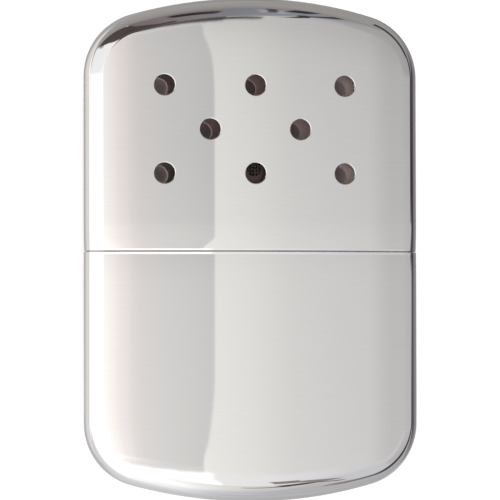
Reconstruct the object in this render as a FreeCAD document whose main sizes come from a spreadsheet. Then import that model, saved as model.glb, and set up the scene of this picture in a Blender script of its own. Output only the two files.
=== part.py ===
import FreeCAD, Part
import math
import os
import re

import Sketcher

# A catalytic hand warmer: a fuel tank packed with cotton wadding, a burner that
# slips over the tank's filler neck, and a perforated cap that slides over both.
#
# Frame, in millimetres: the warmer lies on its crowned back. X runs across it,
# +Y along it from the tank to the cap, +Z out of its front face. The origin is
# on the table under the middle of the warmer.

DRIVING = {
    # the drawn case
    "body_width": (66.3, "across the two sides"),
    "body_thickness": (13.0, "front face to back face, in the middle"),
    "cap_length": (50.0, "from the seam to the top of the cap"),
    "tank_length": (49.0, "from the seam to the foot of the tank"),
    "arch_radius": (89.0, "arch of each end, seen from the front"),
    "corner_radius": (12.6, "corner between an end arch and a side"),
    "crown_radius": (190.0, "crown of the front and back faces, across the case"),
    "rim_band": (0.4, "straight band left between the two roundings of a side"),
    "sheet_gauge": (0.5, "brass sheet of the cap and the tank"),
    "seam_gap": (0.15, "between the cap's mouth and the tank's"),
    # the vent holes, three rows through both faces
    "vent_diameter": (4.0, "one vent hole"),
    "vent_column_pitch": (8.95, "from a column to the next"),
    "vent_row_pitch": (8.64, "from a row to the next"),
    "vent_first_row": (15.35, "from the seam to the lowest row"),
    # the collar that the cap slides over, drawn in one with the deck
    "collar_gauge": (0.4, "sheet of the collar and deck"),
    "collar_rise": (6.5, "from the seam up to the deck"),
    "collar_depth": (7.0, "from the seam down into the tank"),
    "collar_slip": (0.2, "between the collar and the cap's wall"),
    "solder_gap": (0.03, "between soldered sheets"),
    "deck_rounding": (0.6, "outer edge of the deck"),
    "dimple_radius": (1.0, "friction dimple, at its foot"),
    "dimple_clearance": (0.08, "between a dimple and the cap's wall"),
    "dimple_spacing": (28.0, "between the two dimples of a face"),
    "dimple_below_deck": (3.4, "from the deck down to the dimples"),
    # the filler neck
    "neck_width": (27.0, "outside, across the case"),
    "neck_rise": (5.5, "from the deck to the neck's lip"),
    "neck_gauge": (0.4, "sheet of the neck and its flange"),
    "flange_clearance": (0.05, "between the neck's flange and the inside of the collar"),
    # what the tank is packed with
    "felt_thickness": (2.5, "felt pad under the deck"),
    "packing_gap": (0.1, "between packed pieces"),
    "centre_batt_width": (22.0, "middle batt of wadding"),
    "tuft_clearance": (0.9, "between the neck and the tuft of cotton in it"),
    # the burner
    "burner_clearance": (0.12, "between the burner's bead and the cap's wall"),
    "burner_slip": (0.15, "between the neck and the burner's skirt"),
    "burner_seat": (0.1, "between the deck and the skirt"),
    "lip_clearance": (0.2, "between the neck's lip and the plate over it"),
    "skirt_gauge": (0.35, "sheet of the burner's skirt"),
    "foot_flare": (0.45, "how far the skirt's foot turns out"),
    "foot_height": (0.4, "height of the turned-out foot"),
    "bead_overhang": (0.8, "how far the bead stands out from the skirt"),
    "bead_height": (0.9, "rolled bead round the foot of the cage"),
    "grid_thickness": (0.3, "plate that holds the mat up"),
    "grid_slot_width": (1.6, "slot in that plate"),
    "grid_web": (1.0, "bar between two slots"),
    "cage_step": (0.65, "from the skirt's wall in to the cage's"),
    "cage_height": (7.4, "from the bead to the top of the cage"),
    "cage_gauge": (0.35, "sheet of the cage"),
    "cage_rounding": (1.3, "top edge of the cage"),
    "window_width": (2.7, "one window of the cage"),
    "window_web": (1.2, "bar between two windows"),
    "window_margin": (1.5, "from the bead to the windows, and from them to the top"),
    "top_slot_margin": (4.8, "from an end of the cage to its top slot"),
    "top_slot_width": (2.6, "slot in the top of the cage"),
    "gauze_thickness": (0.3, "wire gauze behind the windows"),
    "gauze_overlap": (0.4, "how far the gauze runs past the windows"),
    "mat_clearance": (0.1, "between the mat and the gauze or cage"),
}

CUT_MARGIN = 5.0  # how far a cutting shape runs past what it cuts
NEAR = 1e-3  # two places this close are the same

# which columns each row of vent holes uses, lowest row first
VENT_ROWS = ((-2, 0, 2), (-1, 1), (-2, 0, 2))

DERIVED = {
    "half_width": ("body_width / 2", "centre line to a side"),
    "half_thickness": ("body_thickness / 2", "middle plane to a face"),
    "case_end": ("(cap_length + tank_length) / 2", "from the origin to each end"),
    "crown_axis": ("half_thickness - crown_radius", "middle plane to the crown's axis"),
    # the ball of this radius touches the side at the band's edge and the crown from inside
    "edge_radius": ("(crown_radius ^ 2 - half_width ^ 2 - (rim_band / 2 - crown_axis) ^ 2)"
                    " / (2 * (crown_radius - half_width))", "rounding between a face and the rim"),
    "seam_place": ("(tank_length - cap_length) / 2", "the tank's mouth"),
    "cap_mouth": ("seam_place + seam_gap", "the cap's mouth"),
    "collar_inset": ("sheet_gauge + collar_slip", "collar, in from the outside of the case"),
    "spigot_inset": ("sheet_gauge + solder_gap", "the collar's foot inside the tank"),
    "deck_place": ("seam_place + collar_rise", "top of the deck"),
    "collar_foot": ("seam_place - collar_depth", "lowest edge of the collar"),
    "dimple_place": ("deck_place - dimple_below_deck", "centres of the dimples"),
    "dimple_height": ("collar_slip - dimple_clearance", "how far a dimple stands out"),
    # the burner fills the cap's thickness, and the neck fits inside the burner
    "neck_drop": ("crown_radius - sqrt(crown_radius ^ 2 - (neck_width / 2) ^ 2)",
                  "fall of the crown over the neck's half width"),
    "bead_thickness": ("body_thickness - 2 * (sheet_gauge + neck_drop + burner_clearance)",
                       "outside of the bead, front to back"),
    "skirt_thickness": ("bead_thickness - 2 * bead_overhang", "outside of the skirt"),
    "skirt_hole_thickness": ("skirt_thickness - 2 * skirt_gauge", "inside the skirt"),
    "neck_thickness": ("skirt_hole_thickness - 2 * burner_slip", "outside of the neck"),
    "skirt_hole_width": ("neck_width + 2 * burner_slip", "inside the skirt"),
    "skirt_width": ("skirt_hole_width + 2 * skirt_gauge", "outside of the skirt"),
    "bead_width": ("skirt_width + 2 * bead_overhang", "outside of the bead, across the case"),
    "neck_hole_width": ("neck_width - 2 * neck_gauge", "inside the neck"),
    "neck_hole_thickness": ("neck_thickness - 2 * neck_gauge", "inside the neck"),
    "flange_width": ("half_thickness - collar_inset - deck_rounding - neck_drop"
                     " - flange_clearance - neck_thickness / 2", "flange around the neck"),
    "flange_top": ("deck_place - collar_gauge", "underside of the deck"),
    "flange_bottom": ("flange_top - neck_gauge", "underside of the neck's flange"),
    "neck_top": ("deck_place + neck_rise", "lip of the neck"),
    "felt_top": ("flange_bottom - packing_gap", "top of the felt pad"),
    "felt_bottom": ("felt_top - felt_thickness", "underside of the felt pad"),
    "packing_inset": ("collar_inset + collar_gauge + packing_gap", "felt and batts, from outside"),
    "wadding_top": ("felt_bottom - packing_gap", "top of the batts"),
    "tuft_width": ("neck_hole_width - 2 * tuft_clearance", "tuft of cotton, across"),
    "tuft_thickness": ("neck_hole_thickness - 2 * tuft_clearance", "tuft, front to back"),
    "skirt_bottom": ("deck_place + burner_seat", "foot of the skirt"),
    "skirt_top": ("neck_top + lip_clearance", "where the bead starts"),
    "grid_top": ("skirt_top + grid_thickness", "where the cage starts"),
    "grid_slot_pitch": ("grid_slot_width + grid_web", "from a slot to the next"),
    "bead_top": ("grid_top + bead_height", "where the cage's wall starts"),
    "cage_top": ("bead_top + cage_height", "top of the cage"),
    "cage_width": ("skirt_width - 2 * cage_step", "outside, across the case"),
    "cage_thickness": ("skirt_thickness - 2 * cage_step", "outside, front to back"),
    "cage_hole_width": ("cage_width - 2 * cage_gauge", "inside the cage"),
    "cage_hole_thickness": ("cage_thickness - 2 * cage_gauge", "inside the cage"),
    "cage_flat": ("cage_width - cage_thickness", "straight flank of the cage"),
    "window_height": ("cage_height - 2 * window_margin", "one window of the cage"),
    "window_pitch": ("window_width + window_web", "from a window to the next"),
    "window_middle": ("bead_top + cage_height / 2", "middle of the windows"),
    "top_slot_length": ("cage_width - 2 * top_slot_margin", "slot in the top of the cage"),
    "gauze_width": ("cage_flat - 2 * mat_clearance", "a gauze, on the flat of the cage"),
    "gauze_height": ("window_height + 2 * gauze_overlap", "a gauze, along the case"),
    "gauze_place": ("cage_hole_thickness / 2 - mat_clearance - gauze_thickness / 2",
                    "middle plane to a gauze"),
    "mat_width": ("cage_hole_width - 2 * mat_clearance", "catalyst mat, across"),
    "mat_thickness": ("cage_hole_thickness - 2 * gauze_thickness - 4 * mat_clearance",
                      "catalyst mat, front to back"),
}

doc = FreeCAD.newDocument("HandWarmer")
sheet = doc.addObject("Spreadsheet::Sheet", "Sizes")


# ---- the sheet and its formulas ----

def fill_sheet():
    rows = [(name, str(value), note) for name, (value, note) in DRIVING.items()]
    rows += [(name, "=" + text, note) for name, (text, note) in DERIVED.items()]
    for row, (name, content, note) in enumerate(rows, start=1):
        sheet.set(f"A{row}", name)
        sheet.set(f"B{row}", content)
        sheet.set(f"C{row}", note)
        sheet.setAlias(f"B{row}", name)
    doc.recompute()


def number(text):
    """The present value of a formula of the sheet's sizes."""
    return float(sheet.evalExpression(text))


def formula(text):
    """The same formula, as another object has to write it. Every size has an underscore in its name."""
    return re.sub(r"\b[a-z]+_[a-z_]+\b", lambda found: "Sizes." + found.group(0), text)


def how_many(room, pitch):
    """How many copies stand at a pitch when the first and last are at most room apart."""
    return 1 + int(number(room) / number(pitch))


def bind(thing, **properties):
    """Ties properties to formulas: bind(pad, Length="neck_rise")."""
    for name, text in properties.items():
        thing.setExpression(name, formula(text))


def place(thing, **formulas):
    """Ties the x, y or z of a thing's placement to formulas."""
    for axis, text in formulas.items():
        thing.setExpression(f".Placement.Base.{axis}", formula(text))


# ---- sketches ----

def new_body(name):
    """A body in the case's middle plane, half a thickness above the table."""
    body = doc.addObject("PartDesign::Body", name)
    place(body, z="half_thickness")
    return body


def new_sketch(body, role, height=None):
    """A sketch on one of the body's origin planes. On the XZ plane, height is its place along Y."""
    sketch = body.newObject("Sketcher::SketchObject", body.Name + "Sketch")
    plane = next(f for f in body.Origin.OriginFeatures if f.Role == role)
    sketch.AttachmentSupport = [(plane, "")]
    sketch.MapMode = "FlatFace"
    if height is not None:
        sketch.setExpression(".AttachmentOffset.Base.z", formula(f"-({height})"))
    return sketch


def constrain(sketch, kind, *refs):
    sketch.addConstraint(Sketcher.Constraint(kind, *refs))


def dimension(sketch, kind, refs, text):
    """A dimension whose value is a formula of the sheet."""
    index = sketch.addConstraint(Sketcher.Constraint(kind, *refs, number(text)))
    sketch.setExpression(f"Constraints[{index}]", formula(text))


def arc(centre, radius, start, end):
    circle = Part.Circle(FreeCAD.Vector(*centre, 0), FreeCAD.Vector(0, 0, 1), radius)
    return Part.ArcOfCircle(circle, start, end)


def line(start, end):
    return Part.LineSegment(FreeCAD.Vector(*start, 0), FreeCAD.Vector(*end, 0))


def draw_case_outline(sketch, inset, mouth, sign):
    """The cap's outline (sign 1) or the tank's (sign -1) from the front, set in all round by inset
    except at its open mouth: two straight sides, two corner arcs and the end arch."""
    half = f"(half_width - {inset})"
    corner = f"(corner_radius - {inset})"
    arch = f"(arch_radius - {inset})"
    arch_centre = "(case_end - arch_radius)"
    a, rc, rt = number(half), number(corner), number(arch)
    centre = number(arch_centre)
    shoulder = centre + math.sqrt((rt - rc) ** 2 - (a - rc) ** 2)
    meet = math.atan2(shoulder - centre, a - rc)
    turn = 0.0 if sign > 0 else math.pi
    m = number(mouth)

    def spot(x, y):
        return (sign * x, sign * y)

    mouth_line, right, right_corner, end_arch, left_corner, left = sketch.addGeometry([
        line(spot(-a, sign * m), spot(a, sign * m)),
        line(spot(a, sign * m), spot(a, shoulder)),
        arc(spot(a - rc, shoulder), rc, turn, turn + meet),
        arc(spot(0, centre), rt, turn + meet, turn + math.pi - meet),
        arc(spot(rc - a, shoulder), rc, turn + math.pi - meet, turn + math.pi),
        line(spot(-a, shoulder), spot(-a, sign * m)),
    ])
    constrain(sketch, "Coincident", mouth_line, 2, right, 1)
    constrain(sketch, "Coincident", left, 2, mouth_line, 1)
    chain = (right, right_corner, end_arch, left_corner, left)
    for before, after in zip(chain, chain[1:]):
        constrain(sketch, "Tangent", before, 2, after, 1)
    constrain(sketch, "Vertical", right)
    constrain(sketch, "Vertical", left)
    constrain(sketch, "Symmetric", mouth_line, 1, mouth_line, 2, -2)
    constrain(sketch, "Equal", right_corner, left_corner)
    constrain(sketch, "PointOnObject", end_arch, 3, -2)
    dimension(sketch, "Distance", (mouth_line,), f"2 * {half}")
    dimension(sketch, "Radius", (right_corner,), corner)
    dimension(sketch, "Radius", (end_arch,), arch)
    dimension(sketch, "DistanceY", (-1, 1, end_arch, 3), f"{sign} * {arch_centre}")
    dimension(sketch, "DistanceY", (end_arch, 3, mouth_line, 1), f"{mouth} - {sign} * {arch_centre}")


def draw_block_outline(sketch, inset, low, high):
    """A rectangle across the case from low to high along Y, set in from the sides by inset."""
    half = f"(half_width - {inset})"
    a, y0, y1 = number(half), number(low), number(high)
    base, right, top, left = sketch.addGeometry([
        line((-a, y0), (a, y0)), line((a, y0), (a, y1)),
        line((a, y1), (-a, y1)), line((-a, y1), (-a, y0)),
    ])
    ring = (base, right, top, left, base)
    for before, after in zip(ring, ring[1:]):
        constrain(sketch, "Coincident", before, 2, after, 1)
    constrain(sketch, "Horizontal", top)
    for upright in (right, left):
        constrain(sketch, "Vertical", upright)
    constrain(sketch, "Symmetric", base, 1, base, 2, -2)
    dimension(sketch, "Distance", (base,), f"2 * {half}")
    dimension(sketch, "Distance", (right,), f"{high} - ({low})")
    dimension(sketch, "DistanceY", (-1, 1, base, 1), low)


def draw_outside_of_crown(sketch, inset):
    """The two areas outside the crowned faces, in a cross-section of the case."""
    radius = f"(crown_radius - {inset})"
    centre = "crown_axis"
    reach = f"(half_width + {CUT_MARGIN})"
    top = f"(half_thickness + {CUT_MARGIN})"
    r, c, w, h = (number(text) for text in (radius, centre, reach, top))
    start = math.acos(w / r)
    for sign in (1, -1):
        turn = 0.0 if sign > 0 else math.pi
        end_z = sign * (c + r * math.sin(start))
        crown, up, over, down = sketch.addGeometry([
            arc((0, sign * c), r, turn + start, turn + math.pi - start),
            line((-sign * w, end_z), (-sign * w, sign * h)),
            line((-sign * w, sign * h), (sign * w, sign * h)),
            line((sign * w, sign * h), (sign * w, end_z)),
        ])
        ring = (crown, up, over, down, crown)
        for before, after in zip(ring, ring[1:]):
            constrain(sketch, "Coincident", before, 2, after, 1)
        constrain(sketch, "Vertical", up)
        constrain(sketch, "Vertical", down)
        constrain(sketch, "Symmetric", over, 1, over, 2, -2)
        constrain(sketch, "PointOnObject", crown, 3, -2)
        dimension(sketch, "Distance", (over,), f"2 * {reach}")
        dimension(sketch, "Radius", (crown,), radius)
        dimension(sketch, "DistanceY", (-1, 1, crown, 3), f"{sign} * {centre}")
        dimension(sketch, "DistanceY", (-1, 1, over, 1), f"{sign} * {top}")


def draw_oval(sketch, length, width, centre_x=None, centre_y=None, upright=False):
    """An oval with straight flanks and round ends, length by width, along x or upright along y.
    It sits on the origin, or with its centre at the formulas centre_x and centre_y."""
    span, radius = f"({length} - ({width}))", f"({width}) / 2"
    half, r = number(span) / 2, number(radius)
    x0 = number(centre_x) if centre_x else 0.0
    y0 = number(centre_y) if centre_y else 0.0
    along = (0, 1) if upright else (1, 0)
    side = (-along[1], along[0])
    turn = math.atan2(along[1], along[0])

    def spot(forward, sideways):
        return (x0 + forward * along[0] + sideways * side[0],
                y0 + forward * along[1] + sideways * side[1])

    far, back, near, forth = sketch.addGeometry([
        arc(spot(half, 0), r, turn - math.pi / 2, turn + math.pi / 2),
        line(spot(half, r), spot(-half, r)),
        arc(spot(-half, 0), r, turn + math.pi / 2, turn + 3 * math.pi / 2),
        line(spot(-half, -r), spot(half, -r)),
    ])
    ring = (far, back, near, forth, far)
    for before, after in zip(ring, ring[1:]):
        constrain(sketch, "Tangent", before, 2, after, 1)
    constrain(sketch, "Vertical" if upright else "Horizontal", back)
    constrain(sketch, "Equal", far, near)
    dimension(sketch, "Radius", (far,), radius)
    dimension(sketch, "Distance", (back,), span)
    if centre_x is None:
        constrain(sketch, "Symmetric", far, 3, near, 3, -1, 1)
        return
    shift = (f"{centre_x}", f"{centre_y} + {span} / 2") if upright else (
        f"{centre_x} + {span} / 2", f"{centre_y}")
    dimension(sketch, "DistanceX", (-1, 1, far, 3), shift[0])
    dimension(sketch, "DistanceY", (-1, 1, far, 3), shift[1])


# ---- features ----

def add_pad(body, sketch, length, symmetric=False):
    """Pads upwards in the sheet's terms: along +Z from the XY plane, along +Y from the XZ plane."""
    pad = body.newObject("PartDesign::Pad", body.Name + "Pad")
    pad.Profile = sketch
    bind(pad, Length=length)
    pad.SideType = "Symmetric" if symmetric else "One side"
    pad.Reversed = not symmetric
    sketch.Visibility = False
    doc.recompute()
    return pad


def add_through_cut(body, sketch):
    """Cuts right through the body, both ways from the sketch."""
    pocket = body.newObject("PartDesign::Pocket", body.Name + "Pocket")
    pocket.Profile = sketch
    pocket.Type = "ThroughAll"
    pocket.SideType = "Symmetric"
    doc.recompute()
    return pocket


def add_cut(body, sketch, length):
    """Cuts towards +Y from a sketch on the XZ plane."""
    pocket = body.newObject("PartDesign::Pocket", body.Name + "Pocket")
    pocket.Profile = sketch
    bind(pocket, Length=length)
    pocket.SideType = "One side"
    pocket.Reversed = False
    doc.recompute()
    return pocket


def add_fillet(body, radius, wanted):
    """Rounds every edge of the body's tip that wanted(faces beside it) picks."""
    base = body.Tip
    shape = base.Shape
    names = []
    for number_of_edge, edge in enumerate(shape.Edges, start=1):
        if wanted(edge, shape.ancestorsOfType(edge, Part.Face)):
            names.append(f"Edge{number_of_edge}")
    fillet = body.newObject("PartDesign::Fillet", body.Name + "Fillet")
    fillet.Base = (base, names)
    bind(fillet, Radius=radius)
    doc.recompute()
    return fillet


def is_crown(face):
    return isinstance(face.Surface, Part.Cylinder) and abs(face.Surface.Axis.y) > 0.9


def faces_along(face, axis):
    return isinstance(face.Surface, Part.Plane) and abs(getattr(face.Surface.Axis, axis)) > 0.99


def crown_to_rim(edge, faces):
    """An edge between a crowned face and the rim, but not at a mouth or an end."""
    crowned = [face for face in faces if is_crown(face)]
    others = [face for face in faces if not is_crown(face)]
    return len(crowned) == 1 and len(others) == 1 and not faces_along(others[0], "y")


def at_height(place_text):
    """Picks the edges that lie wholly in a plane across Y."""
    level = number(place_text)

    def wanted(edge, faces):
        box = edge.BoundBox
        return abs(box.YMin - level) < NEAR and abs(box.YMax - level) < NEAR

    return wanted


def case_block(name, inset, mouth, sign):
    """A solid of the cap's or tank's outside, set in by inset, open at its mouth."""
    body = new_body(name)
    outline = new_sketch(body, "XY_Plane")
    draw_case_outline(outline, inset, mouth, sign)
    add_pad(body, outline, "body_thickness", symmetric=True)
    return crown_and_soften(body, inset)


def plain_block(name, inset, low, high):
    """A straight length of the case's cross-section, set in by inset."""
    body = new_body(name)
    outline = new_sketch(body, "XY_Plane")
    draw_block_outline(outline, inset, low, high)
    add_pad(body, outline, "body_thickness", symmetric=True)
    return crown_and_soften(body, inset)


def crown_and_soften(body, inset):
    crown = new_sketch(body, "XZ_Plane")
    draw_outside_of_crown(crown, inset)
    add_through_cut(body, crown)
    add_fillet(body, f"edge_radius - {inset}", crown_to_rim)
    return body


def oval_body(name, length, width, low, high, rounding=None):
    """An upright oval of the burner or neck, from low to high along Y."""
    body = new_body(name)
    profile = new_sketch(body, "XZ_Plane", low)
    draw_oval(profile, length, width)
    add_pad(body, profile, f"{high} - ({low})")
    if rounding:
        add_fillet(body, rounding, at_height(high))
    return body


def add_oval(body, length, width, low, high):
    """Another oval on the same body."""
    profile = new_sketch(body, "XZ_Plane", low)
    draw_oval(profile, length, width)
    return add_pad(body, profile, f"{high} - ({low})")


def bore_oval(body, length, width, low, high=None):
    """An oval hole through the whole body, or only from low to high."""
    profile = new_sketch(body, "XZ_Plane", low)
    draw_oval(profile, length, width)
    if high is None:
        return add_through_cut(body, profile)
    return add_cut(body, profile, f"{high} - ({low})")


def repeat_feature(body, feature, sketch, pitch, count):
    """Repeats a cut along the sketch's x axis."""
    pattern = body.newObject("PartDesign::LinearPattern", body.Name + "Pattern")
    pattern.Originals = [feature]
    pattern.Direction = (sketch, ["H_Axis"])
    bind(pattern, Length=f"{pitch} * {count - 1}")
    pattern.Occurrences = count
    body.Tip = pattern
    doc.recompute()
    return pattern


def cut(name, base, tools):
    """The base less every tool."""
    tool = tools[0]
    if len(tools) > 1:
        tool = doc.addObject("Part::MultiFuse", name + "_tools")
        tool.Shapes = tools
    piece = doc.addObject("Part::Cut", name)
    piece.Base = base
    piece.Tool = tool
    doc.recompute()
    return piece


def join(name, pieces):
    piece = doc.addObject("Part::MultiFuse", name)
    piece.Shapes = pieces
    piece.Refine = True
    doc.recompute()
    return piece


# ---- the cap ----

def vent_drills():
    drills = []
    for row, columns in enumerate(VENT_ROWS):
        for column in columns:
            drill = doc.addObject("Part::Cylinder", "vent_drill")
            bind(drill, Radius="vent_diameter / 2", Height=f"body_thickness + {2 * CUT_MARGIN}")
            place(drill, x=f"{column} * vent_column_pitch",
                  y=f"seam_place + vent_first_row + {row} * vent_row_pitch", z=f"0 - {CUT_MARGIN}")
            drills.append(drill)
    return drills


def make_cap_shell():
    outside = case_block("cap_outside", "0", "cap_mouth", 1)
    inside = case_block("cap_inside", "sheet_gauge", f"(cap_mouth - {CUT_MARGIN})", 1)
    return cut("cap_shell", outside, [inside] + vent_drills())


# ---- the tank ----

def make_tank_shell():
    outside = case_block("tank_outside", "0", "seam_place", -1)
    inside = case_block("tank_inside", "sheet_gauge", f"(seam_place + {CUT_MARGIN})", -1)
    return cut("tank_shell", outside, [inside])


def dimples():
    """Four low cones that grip the cap, two on each face of the collar."""
    cones = []
    surface_z = ("(crown_axis + sqrt((crown_radius - collar_inset) ^ 2"
                 " - (dimple_spacing / 2) ^ 2))")
    for side in (-1, 1):
        for face in (-1, 1):
            cone = doc.addObject("Part::Cone", "dimple")
            bind(cone, Radius1="dimple_radius", Radius2="dimple_radius / 3",
                 Height="dimple_height + collar_gauge / 2")
            if face < 0:
                cone.Placement.Rotation = FreeCAD.Rotation(FreeCAD.Vector(1, 0, 0), 180)
            place(cone, x=f"{side} * dimple_spacing / 2", y="dimple_place",
                  z=f"half_thickness + {face} * ({surface_z} - collar_gauge / 2)")
            cones.append(cone)
    return cones


def make_collar_deck():
    """The collar stands out of the tank, its foot opens out to fit the tank's wall, and the
    deck closes its top but for the neck's hole."""
    joggle = "collar_gauge"
    collar = plain_block("collar_outside", "collar_inset", "seam_place", "deck_place")
    add_fillet(collar, "deck_rounding", at_height("deck_place"))
    spigot = plain_block("spigot_outside", "spigot_inset", "collar_foot", "seam_place")
    bore = plain_block("collar_bore", "(collar_inset + collar_gauge)",
                       f"(collar_foot - {CUT_MARGIN})", "flange_top")
    add_fillet(bore, "deck_rounding - collar_gauge", at_height("flange_top"))
    spigot_bore = plain_block("spigot_bore", "(spigot_inset + collar_gauge)",
                              f"(collar_foot - {CUT_MARGIN})", f"(seam_place - {joggle})")
    hole = oval_body("neck_hole", "(neck_width + 2 * solder_gap)",
                     "(neck_thickness + 2 * solder_gap)", f"(flange_top - {CUT_MARGIN})",
                     f"(deck_place + {CUT_MARGIN})")
    sleeve = join("collar_blank", [collar, spigot] + dimples())
    return cut("collar_deck", sleeve, [bore, spigot_bore, hole])


def make_filler_neck():
    body = oval_body("filler_neck", "neck_width", "neck_thickness", "flange_bottom", "neck_top")
    add_oval(body, "(neck_width + 2 * flange_width)", "(neck_thickness + 2 * flange_width)",
             "flange_bottom", "flange_top")
    bore_oval(body, "neck_hole_width", "neck_hole_thickness", "flange_bottom")
    return body


def make_felt_pad():
    pad = plain_block("felt_blank", "packing_inset", "felt_bottom", "felt_top")
    slit = oval_body("felt_slit", "(tuft_width + 2 * packing_gap)",
                     "(tuft_thickness + 2 * packing_gap)", f"(felt_bottom - {CUT_MARGIN})",
                     f"(felt_top + {CUT_MARGIN})")
    return cut("felt_pad", pad, [slit])


def make_waddings():
    """Three upright batts of cotton, side by side, that fill the tank."""
    filling = case_block("wadding_blank", "packing_inset", "wadding_top", -1)
    outer = f"(half_width + {CUT_MARGIN})"
    inner = "(centre_batt_width / 2)"
    spans = {
        "left_wadding": (f"-{outer}", f"{outer} - {inner} - packing_gap"),
        "centre_wadding": (f"-{inner}", f"2 * {inner}"),
        "right_wadding": (f"{inner} + packing_gap", f"{outer} - {inner} - packing_gap"),
    }
    batts = []
    for name, (start, width) in spans.items():
        slab = doc.addObject("Part::Box", name + "_slab")
        bind(slab, Length=width, Width="tank_length + collar_rise", Height="body_thickness")
        place(slab, x=start, y="0 - case_end")
        batt = doc.addObject("Part::Common", name)
        batt.Base = filling
        batt.Tool = slab
        batts.append(batt)
    doc.recompute()
    return batts


def make_neck_tuft():
    return oval_body("neck_tuft", "tuft_width", "tuft_thickness",
                     "(wadding_top + packing_gap)", "(deck_place - packing_gap)")


# ---- the burner ----

def make_burner_skirt():
    body = oval_body("burner_skirt", "skirt_width", "skirt_thickness", "skirt_bottom", "skirt_top")
    add_oval(body, "(skirt_width + 2 * foot_flare)", "(skirt_thickness + 2 * foot_flare)",
             "skirt_bottom", "(skirt_bottom + foot_height)")
    add_oval(body, "bead_width", "bead_thickness", "(skirt_top - skirt_gauge)", "skirt_top")
    bore_oval(body, "skirt_hole_width", "skirt_hole_thickness", "skirt_bottom")
    return body


def make_support_grid():
    """The slotted plate under the mat, held between the skirt and the cage."""
    body = oval_body("support_grid", "bead_width", "bead_thickness", "skirt_top", "grid_top")
    profile = new_sketch(body, "XZ_Plane", "skirt_top")
    count = how_many("cage_flat", "grid_slot_pitch")
    first = f"(0 - grid_slot_pitch * {(count - 1) / 2})"
    length = "(cage_hole_thickness - 2 * cage_gauge)"
    draw_oval(profile, length, "grid_slot_width", first, "0", upright=True)
    slot = add_through_cut(body, profile)
    repeat_feature(body, slot, profile, "grid_slot_pitch", count)
    return body


def make_burner_cage():
    """A drawn oval hood with windows in both faces and a slot in its top, on a rolled bead."""
    hood = oval_body("cage_outside", "cage_width", "cage_thickness", "grid_top", "cage_top",
                     "cage_rounding")
    add_oval(hood, "bead_width", "bead_thickness", "grid_top", "bead_top")
    add_fillet(hood, "bead_height / 3", bead_edges)
    bore_oval(hood, "top_slot_length", "top_slot_width", "cage_top")
    windows = new_sketch(hood, "XY_Plane")
    count = how_many("cage_flat - window_width", "window_pitch")
    first = f"(0 - window_pitch * {(count - 1) / 2})"
    draw_oval(windows, "window_height", "window_width", first, "window_middle", upright=True)
    window = add_through_cut(hood, windows)
    repeat_feature(hood, window, windows, "window_pitch", count)
    inside = oval_body("cage_inside", "cage_hole_width", "cage_hole_thickness",
                       f"(grid_top - {CUT_MARGIN})", "(cage_top - cage_gauge)",
                       "cage_rounding - cage_gauge")
    return cut("burner_cage", hood, [inside])


def bead_edges(edge, faces):
    """The outer edges of the bead, which reach past the cage's wall."""
    box = edge.BoundBox
    past_flank = max(abs(box.ZMin), abs(box.ZMax)) > number("cage_thickness / 2") + NEAR
    past_end = max(abs(box.XMin), abs(box.XMax)) > number("cage_width / 2") + NEAR
    level = any(at_height(place_text)(edge, faces) for place_text in ("grid_top", "bead_top"))
    return level and (past_flank or past_end)


def make_catalyst_mat():
    return oval_body("catalyst_mat", "mat_width", "mat_thickness",
                     "(grid_top + mat_clearance)", "(cage_top - cage_gauge - mat_clearance)",
                     "cage_rounding - cage_gauge")


def make_gauzes():
    """A sheet of wire gauze behind the windows of each face."""
    gauzes = []
    for name, face in (("front_gauze", 1), ("back_gauze", -1)):
        gauze = doc.addObject("Part::Box", name)
        bind(gauze, Length="gauze_width", Width="gauze_height", Height="gauze_thickness")
        place(gauze, x="0 - gauze_width / 2", y="window_middle - gauze_height / 2",
              z=f"half_thickness + {face} * gauze_place - gauze_thickness / 2")
        gauzes.append(gauze)
    doc.recompute()
    return gauzes


# ---- the whole ----

def make_all():
    pieces = [make_cap_shell(), make_tank_shell(), make_collar_deck(), make_filler_neck(),
              make_felt_pad(), *make_waddings(), make_neck_tuft(), make_burner_skirt(),
              make_support_grid(), make_burner_cage(), make_catalyst_mat(), *make_gauzes()]
    doc.recompute()
    return pieces


def check(pieces):
    for thing in doc.Objects:
        faults = {"Invalid", "Error"} & set(thing.State)
        assert not faults, f"{thing.Label}: {thing.State}"
    for piece in pieces:
        shape = piece.Shape
        assert not shape.isNull() and shape.isValid(), f"{piece.Label} has no valid shape"
        assert shape.Solids, f"{piece.Label} has no solid"


def write(pieces):
    os.makedirs("parts", exist_ok=True)
    for piece in pieces:
        piece.Shape.exportStep(f"parts/{piece.Label}.step")
        print(f"{piece.Label}: {len(piece.Shape.Solids)} solid, {piece.Shape.Volume:.1f} mm3")


fill_sheet()
made = make_all()
check(made)
write(made)
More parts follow.
